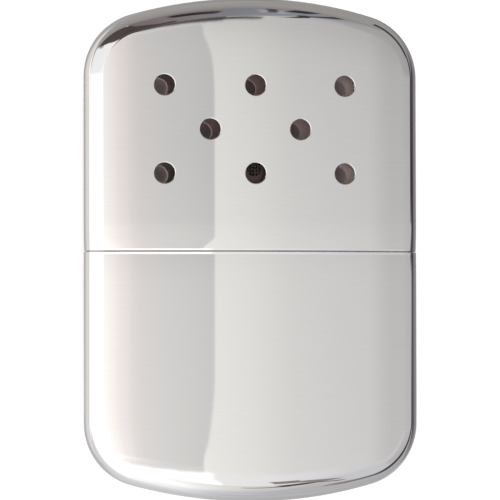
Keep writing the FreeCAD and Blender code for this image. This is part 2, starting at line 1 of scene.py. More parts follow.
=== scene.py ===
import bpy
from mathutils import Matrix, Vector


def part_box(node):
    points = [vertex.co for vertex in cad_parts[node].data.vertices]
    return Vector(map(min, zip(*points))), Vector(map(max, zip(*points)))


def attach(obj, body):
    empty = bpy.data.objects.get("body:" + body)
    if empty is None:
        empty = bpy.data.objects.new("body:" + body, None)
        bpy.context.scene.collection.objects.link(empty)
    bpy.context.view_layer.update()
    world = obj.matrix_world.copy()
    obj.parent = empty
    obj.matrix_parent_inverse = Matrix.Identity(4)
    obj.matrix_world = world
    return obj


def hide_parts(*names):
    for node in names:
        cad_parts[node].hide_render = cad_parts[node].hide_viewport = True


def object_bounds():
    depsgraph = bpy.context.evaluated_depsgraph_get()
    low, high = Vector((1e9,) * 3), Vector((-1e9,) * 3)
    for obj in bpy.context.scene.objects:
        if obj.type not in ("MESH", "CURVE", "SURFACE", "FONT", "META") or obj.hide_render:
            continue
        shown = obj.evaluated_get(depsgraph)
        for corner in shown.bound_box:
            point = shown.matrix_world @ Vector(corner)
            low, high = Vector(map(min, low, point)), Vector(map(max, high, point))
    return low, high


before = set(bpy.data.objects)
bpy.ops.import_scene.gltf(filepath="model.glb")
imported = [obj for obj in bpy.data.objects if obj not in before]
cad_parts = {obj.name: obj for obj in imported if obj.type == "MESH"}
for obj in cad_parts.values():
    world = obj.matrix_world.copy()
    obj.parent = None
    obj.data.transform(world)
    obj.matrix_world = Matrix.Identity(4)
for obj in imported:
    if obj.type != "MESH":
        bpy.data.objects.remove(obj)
cadLow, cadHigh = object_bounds()

from types import SimpleNamespace

import bmesh
import bpy
import numpy as np
from mathutils import Matrix
from mathutils.geometry import delaunay_2d_cdt

# A catalytic hand warmer, lying on its back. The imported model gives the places, and this script
# gives the finish: chromed shells, the burner, its woven gauzes, and the cotton and felt inside.
# Lengths below are in millimetres until a mesh is made.

mm = 0.001


# small tools

def linear(hexColour, level=1.0):  # an sRGB hex colour as the linear value that a socket takes
    parts = np.array([int(hexColour[i:i + 2], 16) for i in (1, 3, 5)]) / 255
    straight = np.where(parts <= 0.04045, parts / 12.92, ((parts + 0.055) / 1.055) ** 2.4)
    return (*(straight * level), 1.0)


def addNode(tree, kind, inputs=None, out=0, stops=(), **settings):
    # a value is set on its socket, and a socket is linked to it. Stops are a ramp's, as (place from 0 to 1,
    # linear colour). Gives one of the node's outputs
    node = tree.nodes.new("ShaderNode" + kind)
    for name, value in settings.items():
        setattr(node, name, value)
    for key, value in (inputs or {}).items():
        if isinstance(value, bpy.types.NodeSocket):
            tree.links.new(value, node.inputs[key])
        else:
            node.inputs[key].default_value = value
    for place, (at, colour) in enumerate(stops):
        elements = node.color_ramp.elements
        element = elements[place] if place < len(elements) else elements.new(1.0)
        element.position, element.color = at, colour
    return node.outputs[out] if len(node.outputs) else None


def newMaterial(name):
    material = bpy.data.materials.new(name)
    material.use_nodes = True
    material.node_tree.nodes.clear()
    return material, material.node_tree


def gridFaces(rows, columns, closed=False):  # quads of a grid of points, row by row
    index = np.arange(rows * columns).reshape(rows, columns)
    if closed:  # the last column meets the first
        index = np.hstack([index, index[:, :1]])
    return np.stack([index[:-1, :-1], index[1:, :-1], index[1:, 1:], index[:-1, 1:]], -1).reshape(-1, 4)


def unit(vectors):
    return vectors / np.linalg.norm(vectors, axis=-1, keepdims=True)


def newPiece(name, points, faces, materials, faceMaterials=None, normals=None, uv=None):
    # points are in millimetres, and faces is a list of index arrays
    mesh = bpy.data.meshes.new(name)
    mesh.from_pydata(points * mm, [], [row for block in faces for row in block.tolist()])
    mesh.polygons.foreach_set("use_smooth", np.ones(len(mesh.polygons), bool))
    for material in materials:
        mesh.materials.append(material)
    if faceMaterials is not None:
        mesh.polygons.foreach_set("material_index", faceMaterials.astype(np.int32))
    if uv is not None:
        corners = np.empty(len(mesh.loops), np.int32)
        mesh.loops.foreach_get("vertex_index", corners)
        mesh.uv_layers.new(name="Sheet").data.foreach_set("uv", uv[corners].astype(np.float32).ravel())
    mesh.update()
    if normals is not None:
        mesh.normals_split_custom_set_from_vertices(normals.tolist())
    piece = bpy.data.objects.new(name, mesh)
    bpy.context.scene.collection.objects.link(piece)
    return piece


def addPatch(skin, points, normals, faces, finish=0):
    # each face is turned so that it points the way its corners' normals do
    points, normals = points.reshape(-1, 3), unit(normals.reshape(-1, 3))
    corners = points[faces]
    across = np.cross(corners[:, 2] - corners[:, 0], corners[:, -1] - corners[:, 1])
    if faces.shape[1] == 3:
        across = np.cross(corners[:, 1] - corners[:, 0], corners[:, 2] - corners[:, 0])
    inward = np.einsum("ij,ij->i", across, normals[faces].mean(1)) < 0
    faces = np.where(inward[:, None], faces[:, ::-1], faces)
    skin.append((points, normals, faces, np.full(len(faces), finish)))


def weldSkin(name, skin, materials, cell=1e-4, shift=0.3719):
    # patches whose edges meet share their points: two points in one cell of space are the same. The odd shift
    # keeps round coordinates off the walls between cells
    points, normals, blocks, finishes = zip(*skin)
    starts = np.cumsum([0] + [len(part) for part in points])
    points, normals = np.vstack(points), np.vstack(normals)
    cells = np.floor(points / cell + shift).astype(np.int64)
    _, first, place = np.unique(cells, axis=0, return_index=True, return_inverse=True)
    faces = [place.ravel()[block + start] for block, start in zip(blocks, starts)]
    return newPiece(name, points[first], faces, materials, np.concatenate(finishes), normals[first])


def handOver(piece, body, node):
    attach(piece, body)
    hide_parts(node)


# camera

view = dict(
    lean=9.0,  # degrees from straight above, toward -X
    drop=1.8,  # degrees from straight above, toward -Y
    roll=-0.12,  # degrees that the camera is turned about its own line of sight
    distance=0.79,  # from the middle of the case, in metres
    width=98.67,  # what the picture takes in at that distance
    aim=(-0.17, -0.03),  # where on the case it points
    sensor=36.0,
    clip=(0.01, 20.0),  # nearest and furthest that it sees, in metres
)


def placeCamera():
    middle = np.array([view["aim"][0] * mm, view["aim"][1] * mm, (cadLow.z + cadHigh.z) / 2])
    lean, drop = np.radians(view["lean"]), np.radians(view["drop"])
    back = unit(np.array([-np.tan(lean), -np.tan(drop), 1.0]))
    right = unit(np.cross([0.0, 1.0, 0.0], back))
    roll = np.radians(view["roll"])
    right = np.cos(roll) * right + np.sin(roll) * np.cross(back, right)
    up = np.cross(back, right)
    data = bpy.data.cameras.new("Camera")
    data.sensor_width = view["sensor"]
    data.lens = view["sensor"] * view["distance"] / (view["width"] * mm)
    data.clip_start, data.clip_end = view["clip"]
    camera = bpy.data.objects.new("Camera", data)
    bpy.context.scene.collection.objects.link(camera)
    turn = Matrix(np.column_stack([right, up, back]).tolist()).to_4x4()
    camera.matrix_world = Matrix.Translation(middle + back * view["distance"]) @ turn
    bpy.context.scene.camera = camera


placeCamera()
print("camera placed")


# floor, white tent and cards

studio = dict(
    tent="#FFFFFF",  # the white all round
    floor="#F7F2F1",
    floorPaintedShade="#B3979A",  # painted shade: the floor's colour deep under the case, darker and tinted brown as if by light off the case's inside
    paintedShadeFrom=(0.03, 0.12),  # the share left open at which the painted shade ends, and at which the floor is plain
    floorLift=0.42,  # added to the floor for the eye and for reflections
    liftReach=45.0,  # but not where something this near hides most of what is over it, in millimetres
    liftFrom=(0.25, 0.5),  # the share left open at which the lift starts, and at which it is whole
    floorHalf=0.95,  # metres
    ball=30.0,  # metres to the first card, so far that a direction is the same from all over the case
    ballStep=0.2,  # each later card is this much nearer
    matHeight=0.1,  # of the lowest card that lies on the floor
    matStack=0.05,  # and how much higher the last card of all would lie
)

# What the chrome shows. A card is part of a ball round the warmer, and middle and half are in degrees: an
# "over" card is placed by its tilts toward +X and +Y, and a "ring" card, which is the usual kind, by its bearing
# from +X and its height above the floor. A "lying" card lies flat, and is placed by x and y in millimetres. Stops
# are (angle or millimetre, colour, level): they run along the first direction, or the second where rising is
# set, and the factors of a fade run along the other one.
cards = dict(
    sweep=dict(  # white paper on the left, running down to grey on the right
        kind="over", middle=(0, 0), half=(90, 90), corner=0,
        stops=((-90, "#FFFFFF", 1.35), (-12, "#FFFFFF", 1.35), (-8, "#FFFFFF", 1.18),
               (3.6, "#FFFFFA", 0.90), (8.5, "#FFFEFA", 0.85), (13.9, "#FFFEFB", 0.76),
               (19.3, "#FFFEFD", 0.72), (24.7, "#FFFEFC", 0.69), (27, "#FFFEFC", 0.62),
               (28.5, "#FFFEFC", 0.59), (45, "#FFFEFC", 0.57), (90, "#FCFAFF", 0.55)),
        fade=((-90, 1.0), (-20, 1.0), (-3, 1.12), (-1, 1.10), (1, 1.07), (2, 1.045), (3.2, 1.0),
              (4.5, 0.94), (5.2, 0.87), (6.5, 0.80), (20, 0.78), (90, 0.76)),
    ),
    overhead=dict(  # a softbox, less bright than the paper, right over the warmer
        kind="over", middle=(-5, 2.0), half=(8.7, 4.65), corner=0.7, soft=0.15, bend=1.6,
        stops=((-13.7, "#FFFDFA", 1.20), (-13, "#FFFDFA", 1.10), (-12.3, "#FFFBF6", 1.08),
               (-11.4, "#FFF9F4", 1.05), (-10, "#FFF7F5", 0.97), (-8.7, "#FFF8F5", 0.91),
               (-7.5, "#FFF9F6", 0.83), (-6.3, "#FFFAF8", 0.78), (-3.7, "#FFFDFB", 0.73),
               (0.35, "#FFFFFC", 0.68), (2.65, "#FFFFFD", 0.65), (3.7, "#FFFFFD", 0.64)),
        fade=((-2.65, 1.17), (-1, 1.16), (1, 1.12), (2, 1.07), (3.2, 1.0), (4.5, 0.97), (6.65, 0.93)),
    ),
    nearPaper=dict(  # brighter paper from the softbox down toward the foot of the case
        kind="over", middle=(15.5, -16.65), half=(29.5, 14), corner=1.0, soft=0.12,
        stops=((-14, "#FFFFFF", 1.35), (2.8, "#FFFFFF", 1.35), (3.6, "#FFFEFC", 1.03),
               (8.4, "#FFFEFD", 0.99), (15, "#FDFCFF", 0.92), (22, "#FDFCFF", 0.80), (27, "#FDFCFF", 0.74),
               (34, "#FDFCFF", 0.72), (45, "#FDFCFF", 0.68)),
    ),
    nearHem=dict(  # the softbox's near edge, a little lower on the left
        kind="over", middle=(-6.0, -2.78), half=(8.1, 0.32), corner=0.3, soft=0.08, shear=(0, 0.03),
        stops=((-14.1, "#FFFDFA", 1.40), (-11.4, "#FFFBF8", 1.36), (-10, "#FFF9F7", 1.26),
               (-8.7, "#FFF8F5", 1.14), (-7.5, "#FFF9F6", 1.02), (-6.3, "#FFFAF8", 0.94),
               (-3.7, "#FFFDFB", 0.865), (2.1, "#FFFFFC", 0.80)),
    ),
    farWall=dict(  # grey wall beyond the rounded end
        middle=(97.5, 13), half=(52.5, 17), corner=3, soft=1.0,
        stops=((45, "#FFFAF5", 0.44), (60, "#FFF9F4", 0.39), (135, "#FFF8F3", 0.38), (145, "#FFF9F5", 0.42),
               (150, "#FFFBF8", 0.60)),
        fade=((-4, 1.0), (10, 1.0), (20, 0.88), (30, 0.78)),
    ),
    bluePanel=dict(
        middle=(72, 53), half=(21, 26), corner=3, soft=1.5,
        stops=((51, "#F2F5FF", 0.48), (60, "#EDF2FF", 0.36), (72, "#EEF2FF", 0.31), (86, "#F6F6FF", 0.27),
               (93, "#FFF4F4", 0.25)),
    ),
    brownPanel=dict(
        middle=(102, 52), half=(13, 26), corner=2, soft=1.0,
        stops=((89, "#FFF4F2", 0.27), (103, "#FFEDF2", 0.24), (115, "#FFEAF0", 0.20)),
    ),
    brownWall=dict(
        middle=(127, 57.5), half=(15.5, 22), corner=3, soft=0.8, shear=(-0.06, 0),
        stops=((111.5, "#FFDEDF", 0.10), (120, "#FFDCDD", 0.073), (142.5, "#FFE4E2", 0.11)),
    ),
    brownTop=dict(
        middle=(110, 72.5), half=(10, 7.5), corner=3, soft=1.0,
        stops=((100, "#FFEAE8", 0.09), (120, "#FFE6E4", 0.08)),
    ),
    brownFoot=dict(  # runs to a point at the foot of the brown wall
        middle=(128, 36.5), half=(18.5, 19), corner=1.5, soft=0.6, shear=(-0.13, -0.84),
        stops=((109.5, "#FFE2DF", 0.085), (146.5, "#FFE4E2", 0.10)),
    ),
    farGap=dict(  # the dark slit between the box overhead and what stands beyond it
        kind="over", middle=(-4.5, 11.3), half=(9.5, 4.7), corner=0.6, soft=0.12, rising=True,
        stops=((6.6, "#FFE8E8", 0.045), (8.5, "#FFE8E9", 0.10), (11, "#FFEAEE", 0.20),
               (16, "#FFF0F2", 0.22)),
        fade=((-14, 0.5), (-6, 0.55), (-1, 1.0), (5, 1.0)),
    ),
    farSlit=dict(
        kind="over", middle=(5.2, 8.2), half=(5.4, 1.5), corner=1.0, soft=0.1,
        stops=((-0.2, "#FFE8E8", 0.06), (6, "#FFE8E9", 0.06), (10.6, "#FFE8E9", 0.20)),
    ),
    leftStreak=dict(
        middle=(93.5, 44.5), half=(8, 8.5), corner=3, soft=1.0, shear=(0, -0.55),
        stops=((85.5, "#FFE6EA", 0.11), (89, "#FFE4E8", 0.065), (94, "#FFE2E6", 0.045),
               (101.5, "#FFE2E6", 0.045)),
    ),
    panelGlint=dict(
        middle=(71.6, 46), half=(5.5, 11), corner=2.5, soft=1.2, shear=(-0.3, 0),
        stops=((66.1, "#F4F7FF", 0.44), (77.1, "#F4F7FF", 0.41)),
    ),
    midStreak=dict(
        middle=(73, 42), half=(2.0, 11.5), corner=1.2, soft=0.6, shear=(-0.27, 0), rising=True,
        stops=((30.5, "#FFF8F8", 0.07), (42, "#FFF8F8", 0.09), (53.5, "#FFF8F8", 0.15)),
    ),
    rightStreak=dict(
        middle=(68, 32.5), half=(3.6, 9.5), corner=2.0, soft=0.8, shear=(-0.05, 0.5),
        stops=((64.4, "#FAF2FA", 0.045), (71.6, "#FAF4FA", 0.05)),
    ),
    rightEdge=dict(
        middle=(55, 58.5), half=(6.5, 3.2), corner=1.8, soft=0.7, shear=(0, -1.15),
        stops=((48.5, "#FFF2F4", 0.055), (61.5, "#FCF2F8", 0.06)),
    ),
    rightCorner=dict(
        middle=(45, 69), half=(5.5, 2.0), corner=1.0, soft=0.4, shear=(0, -0.9),
        stops=((39.5, "#FFF6F8", 0.05), (50.5, "#FFF4F6", 0.05)),
    ),
    rightLine=dict(
        middle=(58.8, 43), half=(2.0, 15.5), corner=1.4, soft=0.6, shear=(-0.1, 0),
        stops=((56.8, "#FFF4F6", 0.055), (60.8, "#FFF4F6", 0.055)),
    ),
    bench=dict(  # the dark edge of a table all along the right
        middle=(13, 2.0), half=(11.5, 7.0), corner=1.5, soft=0.6,
        stops=((1.5, "#FFDCEC", 0.055), (24.5, "#FFEFF0", 0.055)),
    ),
    benchFar=dict(
        middle=(38, 4), half=(20, 9.5), corner=3.5, soft=1.0,
        stops=((18, "#FFEFF0", 0.055), (58, "#FFF2F0", 0.06)),
    ),
    benchNear=dict(
        middle=(-31.5, 9), half=(33.5, 9), corner=4, soft=1.6, shear=(0, -0.32),
        stops=((-65, "#FFF4F4", 0.18), (-54, "#FFF4F4", 0.14), (-42, "#FFF2F2", 0.07),
               (2, "#FFE4EC", 0.08)),
    ),
    nearSide=dict(
        middle=(-46, 38), half=(17, 22), corner=8, soft=4.0,
        stops=((-63, "#FCFCFF", 0.74), (-29, "#FCFCFF", 0.70)),
    ),
    nearWall=dict(  # soft grey low down beyond the straight foot of the case
        middle=(-86, 3), half=(36, 36), corner=30, soft=15.0,
        stops=((-122, "#FDFDFF", 1.15), (-104, "#FDFDFF", 1.12), (-98, "#FCFCFF", 1.05),
               (-90, "#F8F8FF", 0.77), (-81, "#F6F6FF", 0.67), (-75, "#F6F6FF", 0.60),
               (-50, "#FAFAFF", 0.56)),
    ),
    footPatch=dict(
        kind="over", middle=(14.4, -15.2), half=(2.6, 7.0), corner=0.8, soft=0.25, shear=(-0.16, 0),
        stops=((11.8, "#FFF7F4", 0.32), (17.0, "#FFF5F3", 0.26)),
    ),
    footPatchRight=dict(
        kind="over", middle=(21.5, -23), half=(3.6, 10.0), corner=2.0, soft=0.8, shear=(-0.74, 0),
        stops=((17.9, "#FFF5F3", 0.27), (25.1, "#FFF5F3", 0.33)),
    ),
    footWedge=dict(
        middle=(-61.5, 52.5), half=(7.5, 5.2), corner=3, soft=0.9, shear=(0, 0.15),
        stops=((-69, "#FFF8FC", 0.075), (-60, "#FFF6F8", 0.08), (-54, "#FFF4F4", 0.12)),
    ),
    footEdge=dict(
        middle=(-56.2, 43.5), half=(1.6, 9), corner=1.2, soft=0.6,
        stops=((-57.8, "#F8F8FF", 0.13), (-54.6, "#F8F8FF", 0.13)),
    ),
    footLine=dict(
        middle=(-73.5, 48), half=(7.5, 1.9), corner=1, soft=0.3,
        stops=((-81, "#F8F6FF", 0.30), (-74, "#F8F6FF", 0.12), (-66, "#FFF6FA", 0.07)),
    ),
    footThread=dict(
        middle=(-63, 19.5), half=(3.0, 3.0), corner=1.4, soft=0.6, shear=(0, -0.6),
        stops=((-66, "#B8989E", 0.72), (-60, "#B8989E", 0.72)),
    ),
    underMat=dict(  # papers that lie on the floor round the case, greyer where the case would shade them: painted shade, as they glow for reflections only
        kind="lying", middle=(0, 0), half=(60, 70), corner=0,
        stops=((-60, "#FFFCFA", 0.52), (-30, "#FFFCFA", 0.50), (0, "#FDFBFB", 0.36), (30, "#FAF8FA", 0.31),
               (60, "#FAF8FA", 0.30)),
        fade=((-70, 1.35), (-40, 1.3), (0, 1.0), (70, 0.9)),
    ),
    footMat=dict(
        kind="lying", middle=(0, -58), half=(60, 28), corner=6, soft=2.0, rising=True,
        stops=((-86, "#FAFBFF", 0.66), (-52, "#F8FAFF", 0.62), (-30, "#F6F8FC", 0.55)),
    ),
    leftMat=dict(
        kind="lying", middle=(-1036, 0), half=(1000, 1500), corner=12, soft=3.0,
        stops=((-2036, "#FFFFFF", 1.25), (-75, "#FFFFFF", 1.25), (-68, "#FFFDFA", 1.0),
               (-62, "#FFF8F6", 0.76), (-56, "#FFFAF6", 0.76), (-52, "#FFFEFA", 0.90),
               (-46, "#FFFEFB", 0.88), (-41, "#FFFAF6", 0.80), (-36, "#FFF8F4", 0.68)),
    ),
    lowerMat=dict(
        kind="lying", middle=(1036, 0), half=(1000, 1500), corner=12, soft=3.0,
        stops=((36, "#FBFBFF", 0.34), (48, "#FBFBFF", 0.29), (58, "#FCFAFF", 0.22), (68, "#FFF4F8", 0.15),
               (76, "#FFF0F6", 0.11), (2036, "#FFF0F6", 0.11)),
    ),
    rightMat=dict(
        kind="lying", middle=(1036, 992), half=(1000, 1000), corner=12, soft=6.0,
        stops=((36, "#F8F4FA", 0.33), (48, "#F8F4FA", 0.28), (58, "#FFF0FA", 0.20), (66, "#FFE8F2", 0.12),
               (74, "#FFDEEE", 0.06), (2036, "#FFDEEE", 0.06)),
    ),
    nearMat=dict(
        kind="lying", middle=(0, -1046), half=(1000, 998), corner=12, soft=3.0, rising=True,
        stops=((-2044, "#FCFCFF", 0.80), (-90, "#FCFCFF", 0.80), (-66, "#FCFCFF", 0.71),
               (-57, "#FCFCFF", 0.69), (-48, "#FBFBFF", 0.66)),
        fade=((-1000, 1.15), (-30, 1.15), (-16, 1.02), (-8, 0.89), (0, 0.80), (8, 0.75), (14, 0.74),
              (27, 0.75), (36, 0.72), (60, 0.65), (1000, 0.65)),
    ),
    farMat=dict(
        kind="lying", middle=(0, 1065), half=(1000, 1000), corner=12, soft=3.0,
        stops=((-1000, "#FFFAF6", 0.44), (1000, "#FFFAF6", 0.38)),
    ),
    farStep=dict(
        kind="lying", middle=(505, 550), half=(500, 500), corner=8, soft=3.0,
        stops=((5, "#FFFAF6", 0.38), (1005, "#FFFAF6", 0.38)),
    ),
)


def cardPoints(kind, middle, half, radius, shear=(0, 0), bend=0, count=49, bendFrom=0.45, bendOver=0.4):
    # two numbers run over a grid, and each point lies in the direction they give, or flat at that x and y.
    # Shear leans either run toward the other, and bend draws the right edge in, smoothly, near its two ends,
    # and the left edge near its lower end
    u = np.linspace(-half[0], half[0], count)[None, :] * np.ones((count, 1))
    v = np.linspace(-half[1], half[1], count)[:, None] * np.ones((1, count))
    sheet = np.stack([u, v], -1).reshape(-1, 2)
    near = np.clip((np.abs(v) / half[1] - bendFrom) / bendOver, 0, 1)
    bent = bend * near ** 2 * (3 - 2 * near) * np.where(v > 0, 0.5 + 0.5 * u / half[0], u / half[0])
    u, v = u + shear[0] * v - bent, v + shear[1] * u
    if kind == "lying":
        rank = (studio["ball"] - radius) / studio["ballStep"] / len(cards)
        height = studio["matHeight"] + studio["matStack"] * rank
        return np.stack([u + middle[0], v + middle[1], np.full_like(u, height)], -1), sheet
    first, second = np.radians(u + middle[0]), np.radians(v + middle[1])
    if kind == "over":
        way = [np.sin(first) * np.cos(second), np.sin(second), np.cos(first) * np.cos(second)]
    else:
        way = [np.cos(first) * np.cos(second), np.sin(first) * np.cos(second), np.sin(second)]
    return np.stack(way, -1) * radius / mm, sheet


def hangCard(name, radius, middle, half, stops, kind="ring", corner=2.0, soft=0.5, rising=False, fade=None,
             shear=(0, 0), bend=0):
    points, sheet = cardPoints(kind, middle, half, radius, shear, bend)
    material, tree = newMaterial(name + "Card")
    place = addNode(tree, "UVMap", out="UV", uv_map="Sheet")
    cover = 1.0
    if corner:  # a rounded rectangle that fades out toward its edge
        away = addNode(tree, "VectorMath", {0: place}, operation="ABSOLUTE")
        inner = (half[0] - corner, half[1] - corner, 0)
        away = addNode(tree, "VectorMath", {0: away, 1: inner}, operation="SUBTRACT")
        away = addNode(tree, "VectorMath", {0: away, 1: (0, 0, 0)}, operation="MAXIMUM")
        away = addNode(tree, "VectorMath", {0: away}, out="Value", operation="LENGTH")
        cover = addNode(tree, "MapRange", {"Value": away, "From Min": corner - 2 * soft, "From Max": corner,
                                           "To Min": 1.0, "To Max": 0.0}, interpolation_type="SMOOTHSTEP")

    def levelsAlong(way, run):  # the colours along one direction, as shares of the brightest, and its level
        along = addNode(tree, "SeparateXYZ", {0: place}, way)
        share = addNode(tree, "MapRange", {"Value": along, "From Min": -half[way], "From Max": half[way]})
        most = max(level for _, _, level in run)
        return addNode(tree, "ValToRGB", {"Fac": share}, stops=[
            ((at - middle[way] + half[way]) / (2 * half[way]), linear(tone, level / most))
            for at, tone, level in run]), most

    colour, brightest = levelsAlong(int(rising), stops)
    if fade:
        second, most = levelsAlong(1 - int(rising), [(at, "#FFFFFF", factor) for at, factor in fade])
        colour = addNode(tree, "VectorMath", {0: colour, 1: second}, operation="MULTIPLY")
        brightest *= most
    glow = addNode(tree, "Emission", {"Color": colour, "Strength": brightest})
    both = addNode(tree, "MixShader", {0: cover, 1: addNode(tree, "BsdfTransparent"), 2: glow})
    addNode(tree, "OutputMaterial", {"Surface": both})
    material.cycles.emission_sampling = "NONE"  # so large a light is found without aiming at it

    card = newPiece(name, points.reshape(-1, 3), [gridFaces(*points.shape[:2])], [material], uv=sheet)
    card.visible_camera = card.visible_diffuse = card.visible_shadow = False  # only reflections show a card


def setStudio():
    world = bpy.data.worlds.new("Tent")
    bpy.context.scene.world = world
    world.use_nodes = True
    sky = world.node_tree.nodes["Background"].inputs
    sky["Color"].default_value, sky["Strength"].default_value = linear(studio["tent"]), 1.0
    for place, (name, card) in enumerate(cards.items()):
        hangCard(name, studio["ball"] - studio["ballStep"] * place, **card)

    material, tree = newMaterial("matt white card")
    rays = addNode(tree, "LightPath").node.outputs
    seen = addNode(tree, "Math", {0: rays["Is Camera Ray"], 1: rays["Is Glossy Ray"]}, operation="ADD")
    seen = addNode(tree, "Math", {0: seen, 1: rays["Is Transmission Ray"]}, operation="MAXIMUM")
    share = addNode(tree, "AmbientOcclusion", {"Distance": studio["liftReach"] * mm}, out="AO")
    clear = addNode(tree, "MapRange", {"Value": share, "From Min": studio["liftFrom"][0],
                                       "From Max": studio["liftFrom"][1]})
    # painted shade: where little is left open over the floor, its colour is mixed toward the darker brownish shade
    # colour
    plain = addNode(tree, "MapRange", {"Value": share, "From Min": studio["paintedShadeFrom"][0],
                                       "From Max": studio["paintedShadeFrom"][1]})
    tone = addNode(tree, "ValToRGB", {"Fac": plain},
                   stops=((0.0, linear(studio["floorPaintedShade"])), (1.0, linear(studio["floor"]))))
    lift = addNode(tree, "Math", {0: seen, 1: studio["floorLift"]}, operation="MULTIPLY")
    lift = addNode(tree, "Math", {0: lift, 1: clear}, operation="MULTIPLY")
    matt = addNode(tree, "BsdfDiffuse", {"Color": tone})
    glow = addNode(tree, "Emission", {"Color": (1, 1, 1, 1), "Strength": lift})
    addNode(tree, "OutputMaterial", {"Surface": addNode(tree, "AddShader", {0: matt, 1: glow})})
    reach = studio["floorHalf"] / mm
    corners = np.array([[-reach, -reach, 0], [reach, -reach, 0], [reach, reach, 0], [-reach, reach, 0]])
    newPiece("floor", corners, [np.array([[0, 1, 2, 3]])], [material])


setStudio()
print("floor, tent and", len(cards), "cards hung")


# finishes

chrome = dict(
    colour="#E7E6E6",
    roughness=0.03,
    waveLength=24.0,  # the drawn sheet is not quite even: millimetres from swell to swell
    waveHeight=0.012,  # and how high they are
    lineSpacing=0.3,  # buffing lines across the case, drawn coarser than real so that they show
    lineLength=6.0,
    lineTone="#E5E4E4",
    lineFrom=(0.40, 0.75),  # the noise at which a line's tone starts, and at which it is whole
)


def polishedChrome():
    # bright chromium plate over buffed brass: a mirror, with faint buffing lines and the sheet's swell
    material, tree = newMaterial("polished chromium plate")
    place = addNode(tree, "TexCoord", out="Object")
    swell = addNode(tree, "TexNoise", {"Vector": place, "Scale": 1 / (chrome["waveLength"] * mm), "Detail": 0.0})
    bump = addNode(tree, "Bump", {"Height": swell, "Distance": chrome["waveHeight"] * mm, "Strength": 1.0})
    spacing, length = chrome["lineSpacing"] * mm, chrome["lineLength"] * mm
    drawn = addNode(tree, "Mapping", {"Vector": place, "Scale": (1 / length, 1 / spacing, 1 / length)})
    lines = addNode(tree, "TexNoise", {"Vector": drawn, "Scale": 1.0, "Detail": 2.0})
    start, end = chrome["lineFrom"]
    tone = addNode(tree, "ValToRGB", {"Fac": lines},
                   stops=((start, linear(chrome["colour"])), (end, linear(chrome["lineTone"]))))
    metal = addNode(tree, "BsdfPrincipled", {"Base Color": tone, "Metallic": 1.0,
                                             "Roughness": chrome["roughness"], "Normal": bump})
    addNode(tree, "OutputMaterial", {"Surface": metal})
    return material


insides = dict(colour="#E6D2CD", roughness=(0.33, 0.43), blotch=3.0)


def drawnBrass():
    # the unpolished inside of the shells: thin plate over drawn brass, dull and brownish
    material, tree = newMaterial("drawn brass, flash plated")
    place = addNode(tree, "TexCoord", out="Object")
    cloud = addNode(tree, "TexNoise", {"Vector": place, "Scale": 1 / (insides["blotch"] * mm), "Detail": 4.0})
    rough = addNode(tree, "MapRange", {"Value": cloud, "To Min": insides["roughness"][0],
                                       "To Max": insides["roughness"][1]})
    metal = addNode(tree, "BsdfPrincipled", {"Base Color": linear(insides["colour"]), "Metallic": 1.0,
                                             "Roughness": rough})
    addNode(tree, "OutputMaterial", {"Surface": metal})
    return material


chromePlate, shellInside = polishedChrome(), drawnBrass()


# the two shells of the case

case = dict(
    archRadius=89.0,
    cornerRadius=12.6,
    crownRadius=190.0,
    edgeRadius=4.0019,  # rounding between a face and the rim
    sheet=0.5,
    softening=0.14,  # how much the roundings run out into the faces
    softenedOver=12.0,
    innerLip=0.1,  # rounding of the mouths' inner edges
)
vents = dict(
    radius=2.0,
    lip=0.2,  # rounding of a vent's two edges
    columnPitch=8.95,
    rowPitch=8.64,
    firstRow=15.2,  # above the cap's mouth
    rows=((-2, 0, 2), (-1, 1), (-2, 0, 2)),  # the columns that each row uses
    around=40,  # points round an edge
)
# near a mouth the case turns in by turn over the run, and flares by flare over the flareRun. Its outer edge is
# rounded over the lip's height and depth
mouths = dict(
    cap=dict(run=6.0, turn=0.034, flare=-0.03, flareRun=0.42, lipHeight=0.1, lipDepth=0.1),
    tank=dict(run=6.0, turn=0.011, flare=0.06, flareRun=0.55, lipHeight=0.1, lipDepth=0.08),
)


def measureShell(node, lip):
    # a shell is worked out with its closed end toward +Y, so the tank is turned over when it is made
    low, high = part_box(node)
    shell = SimpleNamespace(lip=lip, turned=1 if high.y > -low.y else -1)
    shell.mouth, shell.end = sorted([low.y * shell.turned / mm, high.y * shell.turned / mm])
    shell.halfWidth, shell.middle = high.x / mm, (low.z + high.z) / 2 / mm
    shell.axis = (high.z - low.z) / 2 / mm - case["crownRadius"]  # the crown's axis, from the middle plane
    shell.archY = shell.end - case["archRadius"]
    shell.cornerX = shell.halfWidth - case["cornerRadius"]
    reach = case["archRadius"] - case["cornerRadius"]
    shell.cornerY = shell.archY + np.sqrt(reach ** 2 - shell.cornerX ** 2)
    shell.cornerTurn = np.arccos(shell.cornerX / reach)  # where a corner passes into the arch
    return shell


def caseOutline(shell, sideCount=20, cornerCount=34, archCount=26):
    # up the right side from the mouth, round the corner and over the arch, then mirrored down the left
    side = np.linspace(shell.mouth + shell.lip["run"], shell.cornerY, sideCount)[:-1]
    corner = np.linspace(0, shell.cornerTurn, cornerCount)[:-1]
    arch = np.linspace(shell.cornerTurn, np.pi / 2, archCount)
    x = np.concatenate([np.full_like(side, shell.halfWidth), shell.cornerX + case["cornerRadius"] * np.cos(corner),
                        case["archRadius"] * np.cos(arch)])
    y = np.concatenate([side, shell.cornerY + case["cornerRadius"] * np.sin(corner),
                        shell.archY + case["archRadius"] * np.sin(arch)])
    x[-1] = 0.0
    angle = np.concatenate([np.zeros_like(side), corner, arch])
    angle = np.concatenate([angle, np.pi - angle[-2::-1]])
    return np.concatenate([x, -x[-2::-1]]), np.concatenate([y, y[-2::-1]]), np.cos(angle), np.sin(angle)


